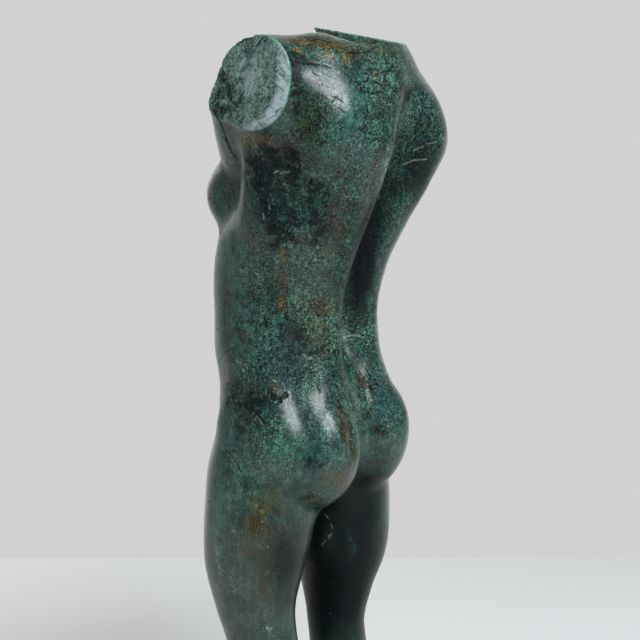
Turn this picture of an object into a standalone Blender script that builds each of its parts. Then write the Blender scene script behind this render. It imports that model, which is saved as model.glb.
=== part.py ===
"""Bronze torso of a standing woman on a low stone plinth.

The casting is one piece, cut off flat at the neck, at both shoulders and just under the knees.
Lengths are metres. The figure is free modelling, so its forms are shares of its own height and
are written in figure units: 100 units are the height from the cut knees to the cut neck.
In both frames +X is her left, -Y is her front and +Z is up. The world's origin is the middle of
the plinth's underside, and the figure's own origin is the point between the knees, z = 0.
"""

import bmesh
import bpy
import numpy as np
from mathutils import Euler, Vector

# Driving sizes, in metres
FIGURE_HEIGHT = 0.380
PLINTH_WIDTH = 0.150
PLINTH_DEPTH = 0.130
PLINTH_HEIGHT = 0.040
PLINTH_EDGE = 0.002
RESTING_GAP = 0.0003

# Sizes of the mesh, in figure units and in triangles
SKIN_STEP = 0.9
FIGURE_TRIANGLES = 8600
SHARP_ANGLE = np.radians(50)

UNIT = FIGURE_HEIGHT / 100
LEFT, RIGHT = 1, -1


def flow(z, levels, values):
    """Smooth curve through one value for each level, read at the heights z."""
    levels = np.asarray(levels, float)
    values = np.asarray(values, float)
    slopes = np.gradient(values, levels)
    z = np.clip(z, levels[0], levels[-1])
    low = np.clip(np.searchsorted(levels, z, side="right") - 1, 0, len(levels) - 2)
    span = levels[low + 1] - levels[low]
    t = (z - levels[low]) / span
    start = (1 + 2 * t) * (1 - t) ** 2 * values[low] + t * (1 - t) ** 2 * span * slopes[low]
    end = t * t * (3 - 2 * t) * values[low + 1] - t * t * (1 - t) * span * slopes[low + 1]
    return start + end


def ease(value, start, end):
    """0 before start, 1 after end, and an S-shaped rise between them."""
    t = np.clip((value - start) / (end - start), 0, 1)
    return t * t * (3 - 2 * t)


def melt(a, b, reach):
    """Two forms run together, with a fillet of this reach where they meet."""
    share = np.clip(0.5 + 0.5 * (b - a) / reach, 0, 1)
    return b + (a - b) * share - reach * share * (1 - share)


def trim(form, limit, reach):
    """The part of a form where limit is negative, with an edge rounded over this reach."""
    return -melt(-form, -limit, reach)


def local(p, centre, pitch=0.0, roll=0.0, yaw=0.0):
    """The points p seen from a centre, in axes turned about X, Y and Z by degrees."""
    turned = Euler(np.radians((pitch, roll, yaw)), "XYZ").to_matrix().transposed()
    away = [p[i] - centre[i] for i in range(3)]
    return [sum(row[i] * away[i] for i in range(3)) for row in turned]


def egg(p, centre, radii, pitch=0.0, roll=0.0, yaw=0.0):
    """Distance from an ellipsoid's surface, negative inside."""
    q = local(p, centre, pitch, roll, yaw)
    near = np.sqrt(sum((q[i] / radii[i]) ** 2 for i in range(3)))
    steep = np.sqrt(sum((q[i] / radii[i] ** 2) ** 2 for i in range(3)))
    return near * (near - 1) / np.maximum(steep, 1e-6)


def press(p, centre, radii, depth, pitch=0.0, roll=0.0, yaw=0.0):
    """A soft dent of this depth around a centre, or a swelling where depth is negative."""
    q = local(p, centre, pitch, roll, yaw)
    return depth * np.exp(-sum((q[i] / radii[i]) ** 2 for i in range(3)))


def limb(p, start, end, start_radius, end_radius):
    """Distance from a tapered rod with round ends."""
    axis = Vector(end) - Vector(start)
    away = [p[i] - start[i] for i in range(3)]
    share = np.clip(sum(away[i] * axis[i] for i in range(3)) / axis.length_squared, 0, 1)
    gap = [away[i] - share * axis[i] for i in range(3)]
    return np.sqrt(sum(g * g for g in gap)) - start_radius - share * (end_radius - start_radius)


def column(p, sections, power=2.0, twist=0.0):
    """Distance from an upright form given by oval sections at rising levels.

    A section is its level, its centre to the left and to the back, its half width, and its
    depths from that centre to the front and to the back.
    """
    x, y, z = p
    levels, *shape = zip(*sections)
    aside, behind, width, front, rear = (flow(z, levels, values) for values in shape)
    across = (x - aside) * np.cos(twist) + (y - behind) * np.sin(twist)
    back = (y - behind) * np.cos(twist) - (x - aside) * np.sin(twist)
    depth = np.where(back < 0, front, rear)
    share = (np.abs(across / width) ** power + np.abs(back / depth) ** power) ** (1 / power)
    out = np.sqrt(across**2 + back**2)
    return out - out / np.maximum(share, 1e-3)


# Level, centre to the left, centre to the back, half width, depth to the front, depth to the back
TRUNK = (
    (27, 0.0, -0.5, 14.0, 8.4, 7.5),
    (36, 0.0, -0.5, 15.5, 9.2, 9.0),
    (42, 0.0, -0.2, 15.3, 9.4, 9.6),
    (47, 0.0, 0.0, 14.3, 9.6, 9.6),
    (52, 0.0, -0.3, 13.7, 10.6, 9.6),
    (58, 0.0, -0.6, 13.2, 10.9, 9.8),
    (64, 0.0, 0.6, 13.8, 12.2, 10.2),
    (70, -0.2, 2.8, 15.3, 13.0, 10.4),
    (77, -0.6, 5.0, 15.6, 11.4, 11.0),
    (84, -0.8, 7.2, 15.4, 10.2, 10.6),
    (89, -1.0, 8.4, 14.0, 9.2, 9.6),
    (94, -1.0, 9.2, 10.0, 7.2, 8.0),
    (98, -1.0, 9.8, 7.0, 6.0, 6.6),
)
# The long swelling beside the spine, from the loins up over the shoulder blade, for the left side
BACK_ROLL = (
    (43, 6.0, 5.8, 4.0, 4.0, 4.0),
    (48, 5.8, 6.5, 4.2, 4.2, 4.2),
    (52, 5.0, 6.2, 4.1, 4.1, 4.0),
    (58, 4.3, 6.0, 4.1, 4.2, 4.0),
    (64, 4.2, 6.8, 4.5, 4.6, 4.4),
    (70, 4.7, 8.9, 5.1, 5.4, 5.0),
    (77, 5.9, 11.6, 6.1, 6.6, 5.8),
    (83, 6.9, 13.4, 6.5, 6.8, 6.2),
    (88, 5.2, 13.5, 6.0, 6.4, 5.8),
    (93, 3.2, 11.8, 5.0, 5.2, 5.0),
    (97, 3.0, 11.0, 4.0, 4.0, 4.0),
)
LEFT_LEG = (
    (-4, 8.0, 1.0, 5.0, 5.0, 5.2),
    (3, 8.2, 0.4, 5.3, 5.6, 5.4),
    (9, 8.4, -0.8, 5.1, 5.4, 5.2),
    (14, 8.6, -1.9, 5.8, 5.9, 5.6),
    (21, 8.7, -2.0, 7.3, 7.3, 7.2),
    (28, 8.5, -1.2, 8.1, 8.3, 8.2),
    (36, 7.8, -0.4, 7.9, 8.7, 8.6),
)
RIGHT_LEG = (
    (-4, -8.2, 2.6, 4.4, 4.3, 4.5),
    (3, -8.4, 1.9, 4.6, 4.7, 4.3),
    (9, -8.5, 1.1, 4.5, 4.6, 4.1),
    (14, -8.6, 0.9, 5.2, 5.2, 5.5),
    (21, -8.7, 1.0, 7.0, 7.0, 7.8),
    (28, -8.6, 1.0, 8.0, 8.2, 8.2),
    (36, -8.0, 0.6, 8.2, 9.0, 8.6),
)

# The chest turns to her right above the waist
TWIST_LEVELS = (54, 78)
CHEST_TWIST = np.radians(8)


def pelvis_and_legs(p):
    """Trunk, thighs and buttocks before the small forms."""
    x, y, z = p
    twist = CHEST_TWIST * ease(z, *TWIST_LEVELS)
    trunk = column(p, TRUNK, 2.2, twist)
    trunk = trim(trunk, 29.5 - z, 5.0)
    trunk = trim(trunk, z - 98, 4.0)
    legs = np.minimum(column(p, LEFT_LEG), column(p, RIGHT_LEG))
    legs = trim(legs, z - 39, 6.0)
    body = melt(trunk, legs, 3.0)
    left = egg(p, (6.6, 5.2, 38.8), (7.6, 8.6, 9.2), pitch=-12)
    right = egg(p, (-6.6, 5.3, 39.3), (7.4, 8.4, 9.6), pitch=-12)
    seat = melt(left, right, 0.8)
    crease = 1.0 + 3.0 * ease(z, 33, 40)
    return melt(body, seat, crease)


def shoulders(p, body):
    """The raised left shoulder, the lower right one, the crests behind them, and the neck."""
    left = limb(p, (8, 9, 88.5), (30, 4.4, 91.6), 7.5, 3.9)
    right = limb(p, (-8, 10, 85.5), (-23, 4.5, 84.5), 7.2, 5.8)
    outer_crest = limb(p, (21, 6.3, 91.9), (10, 9.8, 92.3), 4.9, 5.2)
    inner_crest = limb(p, (10, 9.8, 92.3), (2.5, 12.6, 91.2), 5.2, 4.8)
    neck = limb(p, (-0.6, 8.4, 84), (-1.2, 10.2, 110), 6.7, 6.2)
    body = melt(body, melt(left, melt(outer_crest, inner_crest, 1.0), 2.5), 3.5)
    body = melt(body, right, 4.5)
    body = melt(body, neck, 1.4)
    blade = egg(p, (11.2, 12.1, 86.0), (5.4, 6.0, 7.0), roll=-14)
    body = melt(body, blade, 2.5)
    body = melt(body, limb(p, (17.0, 5.0, 86.0), (13.0, 3.5, 73.0), 3.0, 3.4), 3.0)
    body = body + press(p, (19.3, 12.4, 89.5), (2.4, 3.0, 6.0), 1.2)
    body = body + press(p, (15.6, 11.6, 94.4), (2.8, 3.0, 3.0), 0.9)
    foot_of_neck = np.minimum(
        limb(p, (3.4, 3.6, 97.6), (7.2, 9.6, 97.9), 0, 0),
        limb(p, (7.2, 9.6, 97.9), (5.0, 14.6, 97.4), 0, 0),
    )
    return body + 1.3 * np.exp(-((foot_of_neck / 1.4) ** 2))


def chest(p, body):
    """Breasts on the front of the ribs, the folds from them up to the arms, and the collar."""
    left = limb(p, (7.5, -2.5, 79), (20.5, 1.5, 88.2), 4.8, 2.0)
    right = limb(p, (-7.5, -2.0, 78), (-15.5, 3.2, 82.5), 4.8, 4.0)
    body = melt(body, melt(left, right, 1.0), 2.2)
    body = melt(body, limb(p, (2.2, 3.8, 92.4), (13.5, 2.8, 93.4), 1.0, 1.4), 3.0)
    body = melt(body, limb(p, (-2.8, 4.0, 91.8), (-12.5, 3.8, 89.2), 1.0, 1.2), 3.0)
    for side in (LEFT, RIGHT):
        breast = egg(p, (side * 6.8, -4.2, 75.4), (5.9, 6.3, 6.3), pitch=8, yaw=side * 12)
        body = melt(body, breast, 2.0)
        body = body + press(p, (side * 16.5, 4.5, 80.0), (3.0, 4.0, 3.5), 0.5)
    return body + press(p, (-0.4, 2.2, 92.2), (2.2, 2.5, 2.6), 0.9)


def hips(p, body):
    """The shelf and the swellings of each hip, and a long gouge down the left buttock."""
    for side in (LEFT, RIGHT):
        body = body + press(p, (side * 12.6, 5.0, 42.0), (3.0, 3.4, 4.5), -0.8)
        body = body + press(p, (side * 8.6, 11.0, 42.0), (2.4, 3.4, 5.0), -0.6)
        body = body + press(p, (side * 12.2, 8.0, 50.0), (3.6, 5.0, 2.6), 0.7)
        body = body + press(p, (side * 14.0, 3.5, 33.5), (3.0, 4.6, 4.2), 0.6)
    gouge = limb(p, (7.4, 10.0, 46.0), (6.8, 13.6, 39.5), 0, 0)
    flute = limb(p, (12.8, 7.4, 47.5), (12.4, 9.8, 41.5), 0, 0)
    body = body + 0.45 * np.exp(-((flute / 1.5) ** 2))
    return body + 0.6 * np.exp(-((gouge / 1.2) ** 2))


def belly(p, body):
    """The navel, the line above it, and the folds from the hips down to the thighs."""
    x, y, z = p
    front = ease(-y, 3, 7)
    line = flow(z, (46, 56, 62, 70, 78, 84), (0, 0.35, 0.55, 0.8, 0.6, 0))
    body = body + line * np.exp(-((x / 2.3) ** 2)) * front
    body = body + press(p, (0, -11.6, 53.8), (1.1, 2.5, 1.3), 1.4)
    body = body + press(p, (0, -10.5, 49.5), (7.5, 4.0, 4.5), -0.9)
    body = body + press(p, (0, -7.5, 33.5), (3.6, 4.0, 4.0), -1.0)
    for side in (LEFT, RIGHT):
        along = (side * x - 4.5) * 0.62 + (z - 35.0) * 0.78
        across = (z - 35.0) * 0.62 - (side * x - 4.5) * 0.78
        fold = np.exp(-((across / 1.3) ** 2) - ((along - 4.5) / 6.5) ** 2)
        body = body + 0.75 * fold * front
        body = body + press(p, (side * 12.5, -5.5, 50.0), (2.6, 4.0, 2.2), 0.5)
    return body


def back(p, body):
    """The long swellings of the back, and the furrow of the spine between them."""
    x, y, z = p
    spine = flow(z, (44, 58, 72, 86, 96), (0, 0, -0.4, -0.8, -0.8))
    for side in (LEFT, RIGHT):
        roll = column(((x - spine) * side, y, z), BACK_ROLL)
        roll = trim(roll, 45 - z, 3.0)
        roll = trim(roll, z - (95 if side == LEFT else 92), 3.0)
        body = melt(body, roll, 2.0)
    body = melt(body, limb(p, (2.5, 13.2, 88.6), (-1.5, 12.6, 88.6), 4.6, 4.6), 3.0)
    body = melt(body, egg(p, (0.0, 5.6, 44.0), (5.5, 5.6, 8.5)), 3.0)
    depth = flow(z, (40, 46, 52, 58, 66, 76, 83, 88, 91), (0, 0.7, 1.9, 3.1, 4.2, 4.4, 3.2, 1.2, 0))
    width = flow(z, (44, 58, 72, 84, 92), (2.2, 2.4, 2.8, 3.3, 2.8))
    return body + depth * np.exp(-(((x - spine) / width) ** 2)) * ease(y, 0, 5)


def torso(p):
    """Distance from the whole figure before it is cut, in figure units."""
    body = pelvis_and_legs(p)
    body = shoulders(p, body)
    body = chest(p, body)
    body = belly(p, body)
    body = hips(p, body)
    return back(p, body)


# A cut is the middle of its flat face, the way that face looks out, and how far the cut reaches
CUTS = (
    ((-1.0, 10.4, 97.9), (-0.04, 0.19, 1.0), 12.0),
    ((20.5, 5.2, 90.6), (1.0, 0.05, 0.12), 16.0),
    ((-18.6, 6.0, 84.7), (-1.0, -0.12, 0.02), 10.0),
    ((0.0, 0.0, 0.0), (0.0, 0.0, -1.0), 40.0),
)
BOX_LOW = (-22.0, -16.0, -2.0)
BOX_HIGH = (24.0, 24.0, 102.0)


# The chased crescent on the left arm's cut: the middle of the flat that is left inside it, to the
# back and up, its half width and half height, and how steeply the crescent falls away
CRESCENT = (-1.0, 1.5, 6.0, 7.0, 0.5)


def fall_away(p, cut):
    """How much lower the cut lies in its crescent."""
    middle, facing, _ = cut
    facing = Vector(facing).normalized()
    backward = (Vector((0, 1, 0)) - facing.y * facing).normalized()
    upward = facing.cross(backward)
    behind, above, half_width, half_height, slope = CRESCENT
    away = [p[i] - middle[i] for i in range(3)]
    back = (sum(away[i] * backward[i] for i in range(3)) - behind) / half_width
    rise = (sum(away[i] * upward[i] for i in range(3)) - above) / half_height
    out = np.sqrt(back**2 + rise**2)
    return slope * np.maximum(0, out - 1) * (half_width + half_height) / 2 * ease(back, -0.2, 0.3)


def beyond(p, cut):
    """Distance past a cut's flat face, and nothing out of the cut's reach."""
    middle, facing, reach = cut
    facing = Vector(facing).normalized()
    away = [p[i] - middle[i] for i in range(3)]
    past = sum(away[i] * facing[i] for i in range(3))
    if cut is CUTS[1]:
        past = past + fall_away(p, cut)
    return np.minimum(past, reach - np.sqrt(sum(gap * gap for gap in away)))


def figure(p):
    """Distance from the uncut figure, and distance past its cuts."""
    cuts = beyond(p, CUTS[0])
    for cut in CUTS[1:]:
        cuts = np.maximum(cuts, beyond(p, cut))
    return np.array((torso(p), cuts))


def crossings(start, end):
    """Where an edge leaves the solid, as a share of its length, and through which field."""
    outward = start.max(0) < 0
    inner = np.where(outward, start, end)
    outer = np.where(outward, end, start)
    share = np.where(outer > 0, inner / np.minimum(inner - outer, -1e-9), 2.0)
    first = share.min(0)
    return np.where(outward, first, 1 - first), share.argmin(0), outward


def untangle(values, step):
    """Fills in a few grid points, so that the surface nowhere touches itself along an edge.

    It would where two grid points across a square are inside and the other two are outside.
    """
    for _ in range(8):
        inside = values.max(0) < 0
        filled = np.zeros_like(inside)
        for one, other in ((0, 1), (0, 2), (1, 2)):
            beside, above = np.roll(inside, -1, one), np.roll(inside, -1, other)
            across = np.roll(beside, -1, other)
            crossed = (inside == across) & (beside == above) & (inside != beside)
            filled |= crossed & ~inside
            filled |= np.roll(crossed & inside, 1, one)
        if not filled.any():
            break
        values[:, filled] = np.minimum(values[:, filled], -0.01 * step)
    return values


def skin(fields, low, high, step):
    """Corners and four-sided faces of the solid where all the fields are below zero.

    Each cell of a grid that the surface crosses gets one corner, in the middle of the points
    where the surface crosses the cell's edges. Each crossed edge gets one face, round it.
    A corner is on a rim where its cell is crossed by both fields.
    """
    counts = [int(np.ceil((high[i] - low[i]) / step)) + 1 for i in range(3)]
    marks = [low[i] + step * np.arange(counts[i]) for i in range(3)]
    grid = (marks[0][:, None, None], marks[1][None, :, None], marks[2][None, None, :])
    values = untangle(fields(grid), step)
    inside = values.max(0) < 0
    cells = np.array(counts) - 1
    total = np.zeros((3, *cells))
    hits = np.zeros((2, *cells))
    edges = []
    for axis in range(3):
        ahead = np.eye(3, dtype=int)[axis]
        start = tuple(slice(0, count - one) for count, one in zip(counts, ahead))
        end = tuple(slice(one, count) for count, one in zip(counts, ahead))
        at = np.argwhere(inside[start] != inside[end])
        here, there = tuple(at.T), tuple((at + ahead).T)
        share, kind, outward = crossings(values[(slice(None), *here)], values[(slice(None), *there)])
        edges.append((at, outward))
        for one in (0, 1):
            for other in (0, 1):
                step_back = np.insert((one, other), axis, 0)
                cell = at - step_back
                real = ((cell >= 0) & (cell < cells)).all(1)
                place = tuple(cell[real].T)
                spot = step_back + share[real, None] * ahead
                np.add.at(hits, (kind[real], *place), 1)
                for i in range(3):
                    np.add.at(total[i], place, spot[:, i])
    used = hits.sum(0) > 0
    corners = low + step * (np.argwhere(used) + (total[:, used] / hits[:, used].sum(0)).T)
    on_rim = (hits[:, used] > 0).all(0)
    number = np.full(cells, -1)
    number[used] = np.arange(len(corners))
    faces = []
    for axis, (at, outward) in enumerate(edges):
        ring = []
        for back_one, back_other in ((1, 1), (0, 1), (0, 0), (1, 0)):
            cell = at.copy()
            cell[:, (axis + 1) % 3] -= back_one
            cell[:, (axis + 2) % 3] -= back_other
            ring.append(number[tuple(cell.T)])
        ring = np.array(ring).T
        faces.append(np.where(outward[:, None], ring, ring[:, ::-1]))
    return corners, np.concatenate(faces), on_rim


def gradient(field, points, reach=0.05):
    """The way the field grows fastest, at each point."""
    slope = np.empty_like(points)
    for axis in range(3):
        step = np.zeros(3)
        step[axis] = reach
        ahead = field(tuple((points + step).T))
        behind = field(tuple((points - step).T))
        slope[:, axis] = (ahead - behind) / (2 * reach)
    return slope


def sharpen(corners, on_rim, step):
    """Moves the corners on a cut's rim exactly onto the rim, so that its edge is crisp."""
    for cut in CUTS:
        def past_cut(p, cut=cut):
            return beyond(p, cut)

        near = on_rim & (np.abs(past_cut(corners.T)) < step)
        start = corners[near]
        moved = start.copy()
        for _ in range(4):
            facing = gradient(past_cut, moved)
            facing /= np.maximum(np.linalg.norm(facing, axis=1), 0.1)[:, None]
            slope = gradient(torso, moved)
            along = slope - (slope * facing).sum(1)[:, None] * facing
            along /= np.maximum((along**2).sum(1), 0.1)[:, None]
            moved -= torso(moved.T)[:, None] * along
            moved -= past_cut(moved.T)[:, None] * facing
        corners[near] = start + np.clip(moved - start, -0.7 * step, 0.7 * step)
    return corners


def material(name, colour, metallic, roughness):
    """A plain Principled material."""
    made = bpy.data.materials.new(name)
    made.use_nodes = True
    shader = made.node_tree.nodes["Principled BSDF"]
    shader.inputs["Base Color"].default_value = (*colour, 1)
    shader.inputs["Metallic"].default_value = metallic
    shader.inputs["Roughness"].default_value = roughness
    return made


def add_object(name, mesh, finish):
    """Links a mesh as a named object with its material."""
    made = bpy.data.objects.new(name, mesh)
    made.data.materials.append(finish)
    bpy.context.scene.collection.objects.link(made)
    return made


def figure_mesh(step):
    """The figure as a mesh in metres, standing on the figure's own origin."""
    corners, faces, on_rim = skin(figure, BOX_LOW, BOX_HIGH, step)
    corners = sharpen(corners, on_rim, step)
    mesh = bpy.data.meshes.new("torso")
    mesh.from_pydata((corners * UNIT).tolist(), [], faces.tolist())
    mesh.update()
    mesh.shade_smooth()
    mesh.set_sharp_from_angle(angle=SHARP_ANGLE)
    return mesh


def add_torso():
    """The casting, standing on the plinth."""
    bronze = material("green_bronze", (0.05, 0.16, 0.13), 0.6, 0.42)
    made = add_object("torso", figure_mesh(SKIN_STEP), bronze)
    made.location.z = PLINTH_HEIGHT + RESTING_GAP
    fewer = made.modifiers.new("fewer triangles", "DECIMATE")
    fewer.ratio = min(1.0, FIGURE_TRIANGLES / (2 * len(made.data.polygons)))
    return made


def add_plinth():
    """The block of dark stone, with its sharp edges eased."""
    stone = material("dark_stone", (0.03, 0.032, 0.03), 0.0, 0.25)
    mesh = bpy.data.meshes.new("plinth")
    shape = bmesh.new()
    bmesh.ops.create_cube(shape, size=1)
    bmesh.ops.scale(shape, vec=(PLINTH_WIDTH, PLINTH_DEPTH, PLINTH_HEIGHT), verts=shape.verts)
    bmesh.ops.translate(shape, vec=(0, 0, PLINTH_HEIGHT / 2), verts=shape.verts)
    shape.to_mesh(mesh)
    shape.free()
    made = add_object("plinth", mesh, stone)
    eased = made.modifiers.new("eased edges", "BEVEL")
    eased.width = PLINTH_EDGE
    eased.segments = 3
    return made


def main():
    for old in list(bpy.data.objects):
        bpy.data.objects.remove(old)
    add_plinth()
    add_torso()


main()
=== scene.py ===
# %% [markdown]
# # A bronze torso with a green patina, on a low stone plinth
#
# The real object is a small lost-wax casting: a standing figure that ends in flat cuts at the
# neck, the shoulders and the knees. Years of handling and a chemical patina have left a skin of
# dark green, near black in the hollows, brown where the metal was touched, and scratched.
#
# This lesson builds it in Blender around a fixed frame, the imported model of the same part.
# Each step first says what the real thing is, and then how it's made here.

import bmesh
import bpy
import numpy as np
from mathutils import Euler, Matrix, Vector, noise
from mathutils.bvhtree import BVHTree


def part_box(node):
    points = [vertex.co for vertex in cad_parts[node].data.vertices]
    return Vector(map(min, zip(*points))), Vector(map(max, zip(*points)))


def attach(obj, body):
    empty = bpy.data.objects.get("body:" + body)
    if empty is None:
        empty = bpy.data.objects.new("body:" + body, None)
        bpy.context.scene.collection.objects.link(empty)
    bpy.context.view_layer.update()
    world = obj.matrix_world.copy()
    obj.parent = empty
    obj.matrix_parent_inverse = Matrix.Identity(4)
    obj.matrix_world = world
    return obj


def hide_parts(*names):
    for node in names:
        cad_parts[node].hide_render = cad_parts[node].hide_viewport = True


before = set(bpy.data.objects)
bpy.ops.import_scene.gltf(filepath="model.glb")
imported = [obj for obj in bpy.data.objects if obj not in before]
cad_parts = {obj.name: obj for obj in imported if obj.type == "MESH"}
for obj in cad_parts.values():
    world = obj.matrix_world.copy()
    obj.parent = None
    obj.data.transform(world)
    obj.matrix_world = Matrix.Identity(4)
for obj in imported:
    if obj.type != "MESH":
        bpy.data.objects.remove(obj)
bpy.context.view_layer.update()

figure_low, figure_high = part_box("torso")
plinth_low, plinth_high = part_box("plinth")
print("figure", figure_low, figure_high)

# %% [markdown]
# ## Scale and viewpoint
#
# The figure is free modelling, so its forms are written in figure units: 100 units are the height
# from the cut knees to the cut neck. The figure's own origin is the point between its knees,
# just above the plinth. The camera looks at its back from its left side, a little from above.
# It stands far off with a long lens, so that upright lines stay upright.

# %% Scale and viewpoint
FIGURE_HEIGHT = 0.380
UNIT = FIGURE_HEIGHT / 100
RESTING_GAP = 0.0003
FOOT = Vector((0, 0, plinth_high.z + RESTING_GAP))
LEFT, RIGHT = 1, -1

# The frame's width and the figure's height in it, and what the camera aims at: all in pixels
FRAME_PIXELS, FIGURE_PIXELS = 640, 672
AIM_UP, AIM_RIGHT = 380, 20
PIXEL = FIGURE_HEIGHT / FIGURE_PIXELS
CAMERA_AROUND, CAMERA_UP = np.radians(124), np.radians(6)
CAMERA_AWAY = 1600 * PIXEL
SENSOR_WIDTH = 36

toward_camera = Vector((
    np.sin(CAMERA_AROUND) * np.cos(CAMERA_UP),
    -np.cos(CAMERA_AROUND) * np.cos(CAMERA_UP),
    np.sin(CAMERA_UP),
))
picture_right = Vector((np.cos(CAMERA_AROUND), np.sin(CAMERA_AROUND), 0))
picture_up = toward_camera.cross(picture_right)
picture_centre = FOOT + Vector((0, 0, AIM_UP * PIXEL)) + AIM_RIGHT * PIXEL * picture_right


def stand(name, data):
    """Puts an object made of this mesh, lamp or camera data in the scene."""
    thing = bpy.data.objects.new(name, data)
    bpy.context.scene.collection.objects.link(thing)
    return thing


camera = stand("camera", bpy.data.cameras.new("camera"))
camera.data.sensor_width = SENSOR_WIDTH
camera.data.lens = SENSOR_WIDTH * CAMERA_AWAY / (FRAME_PIXELS * PIXEL)
camera.location = picture_centre + toward_camera * CAMERA_AWAY
camera.rotation_euler = (-toward_camera).to_track_quat("-Z", "Y").to_euler()
bpy.context.scene.camera = camera
print("lens", round(camera.data.lens, 1), "mm, distance", round(CAMERA_AWAY, 3), "m")

# %% [markdown]
# ## Putting nodes together
#
# Every material and group below is a tree of nodes. A few helpers keep that short: one adds a node
# and links or sets its inputs, one mixes two colours, one turns a value into a soft step, and
# three do sums. The last makes a new material.

# %% Putting nodes together
def put(tree, kind, inputs=None, **settings):
    """Adds a node. Its inputs are given as numbers and colours, or as sockets to link from."""
    node = tree.nodes.new(kind)
    for name, value in settings.items():
        setattr(node, name, value)
    for name, value in (inputs or {}).items():
        if isinstance(value, bpy.types.NodeSocket):
            tree.links.new(value, node.inputs[name])
        else:
            node.inputs[name].default_value = value
    return node


def mix(tree, share, under, over, way="MIX"):
    """The colour under, with the colour over laid on it where share is 1."""
    node = put(tree, "ShaderNodeMix", data_type="RGBA", blend_type=way)
    for place, value in ((0, share), (6, under), (7, over)):
        if isinstance(value, bpy.types.NodeSocket):
            tree.links.new(value, node.inputs[place])
        else:
            node.inputs[place].default_value = (*value, 1) if place else value
    return node.outputs[2]


def step(tree, value, low, high, start=0.0, end=1.0):
    """A soft step: start where the value is under low, end where it's over high."""
    inputs = {"Value": value, "From Min": low, "From Max": high, "To Min": start, "To Max": end}
    return put(tree, "ShaderNodeMapRange", inputs, interpolation_type="SMOOTHSTEP").outputs[0]


def sums(tree, way, first, second):
    """One sum of two values."""
    return put(tree, "ShaderNodeMath", {0: first, 1: second}, operation=way).outputs[0]


def times(tree, result, *values):
    """All the values multiplied."""
    for value in values:
        result = sums(tree, "MULTIPLY", result, value)
    return result


def partly(tree, value, low, high):
    """A value from 0 to 1 brought into this narrower range."""
    return sums(tree, "ADD", times(tree, value, high - low), low)


def new_material(name):
    """A material of that name, its tree of nodes and its shader."""
    material = bpy.data.materials.new(name)
    material.use_nodes = True
    return material, material.node_tree, material.node_tree.nodes["Principled BSDF"]


# %% [markdown]
# ## Stage and light
#
# A bronze is lit by what it mirrors. Here that is a pale room behind it, which draws the light
# rims, one large soft lamp above and to the right of the camera, which draws the long
# highlights, and a dim room in front, which keeps the rest dark. The stage is a plain pale table.

# %% Stage and light
TABLE_SIZE, TABLE_EDGE, TABLE_PAINT = (2.6, 0.92, 0.03), 0.004, (0.66, 0.66, 0.66, 1)
ROOM_SEEN = (0.638, 0.638, 0.638)
ROOM_BEHIND, ROOM_IN_FRONT = (0.85, 0.86, 0.83), (0.055, 0.058, 0.06)
# How far a direction turns toward the camera where the pale room ends and where the dim one starts
PALE_ENDS, DIM_STARTS = -0.95, -0.30

bpy.context.scene.view_settings.view_transform = "Standard"

world = bpy.data.worlds.new("pale room")
bpy.context.scene.world = world
world.use_nodes = True
room = world.node_tree
direction = put(room, "ShaderNodeTexCoord").outputs["Generated"]
facing = put(room, "ShaderNodeVectorMath", {0: direction, 1: toward_camera}, operation="DOT_PRODUCT")
share = step(room, facing.outputs["Value"], PALE_ENDS, DIM_STARTS)
lit_by = mix(room, share, ROOM_BEHIND, ROOM_IN_FRONT)
seen_share = put(room, "ShaderNodeLightPath").outputs["Is Camera Ray"]
room.links.new(mix(room, seen_share, lit_by, ROOM_SEEN), room.nodes["Background"].inputs["Color"])

TARGET = FOOT + Vector((0, 0, 0.55 * FIGURE_HEIGHT))


def soft_lamp(name, right, up, back, away, width, watts, colour=(1, 1, 1)):
    """A square soft lamp, placed as the camera sees it: to the right, up and back of the figure."""
    way = (picture_right * right + picture_up * up + toward_camera * back).normalized()
    lamp = stand(name, bpy.data.lights.new(name, "AREA"))
    lamp.data.size = width
    lamp.data.energy = watts
    lamp.data.color = colour
    lamp.location = TARGET + way * away
    lamp.rotation_euler = (-way).to_track_quat("-Z", "Y").to_euler()


soft_lamp("key lamp", 0.45, 0.55, 0.70, 1.5, 1.0, 40, (0.92, 0.97, 1.0))
soft_lamp("side lamp", -0.95, 0.20, 0.20, 1.6, 1.8, 4)
soft_lamp("front lamp", -0.4, 0.5, -0.8, 1.6, 0.9, 10)

table_mesh = bpy.data.meshes.new("table")
shape = bmesh.new()
bmesh.ops.create_cube(shape, size=1)
bmesh.ops.scale(shape, vec=TABLE_SIZE, verts=shape.verts)
bmesh.ops.bevel(shape, geom=shape.edges, offset=TABLE_EDGE, segments=3, profile=0.5, affect="EDGES")
bmesh.ops.translate(shape, vec=(0, 0, -TABLE_SIZE[2] / 2), verts=shape.verts)
bmesh.ops.rotate(shape, matrix=Matrix.Rotation(CAMERA_AROUND, 3, "Z"), verts=shape.verts)
shape.to_mesh(table_mesh)
shape.free()
table = stand("table", table_mesh)
white_paint, _, shader = new_material("white_paint")
shader.inputs["Base Color"].default_value = TABLE_PAINT
shader.inputs["Roughness"].default_value = 0.6
table_mesh.materials.append(white_paint)
print("table", TABLE_SIZE[0], "m wide")

# %% [markdown]
# ## The figure's form
#
# A sculptor builds a torso from masses: the trunk, the thighs, the seat, the shoulder girdle. The
# same can be done with distances. Each mass is a function that says how far a point is from its
# surface, and two masses are melted together with a soft fillet, as wax is. That gives rounder
# and more even forms than pushing vertices, and the same formula serves at any fineness.
#
# First come the tools: smooth curves, and soft joints between two forms.

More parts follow.
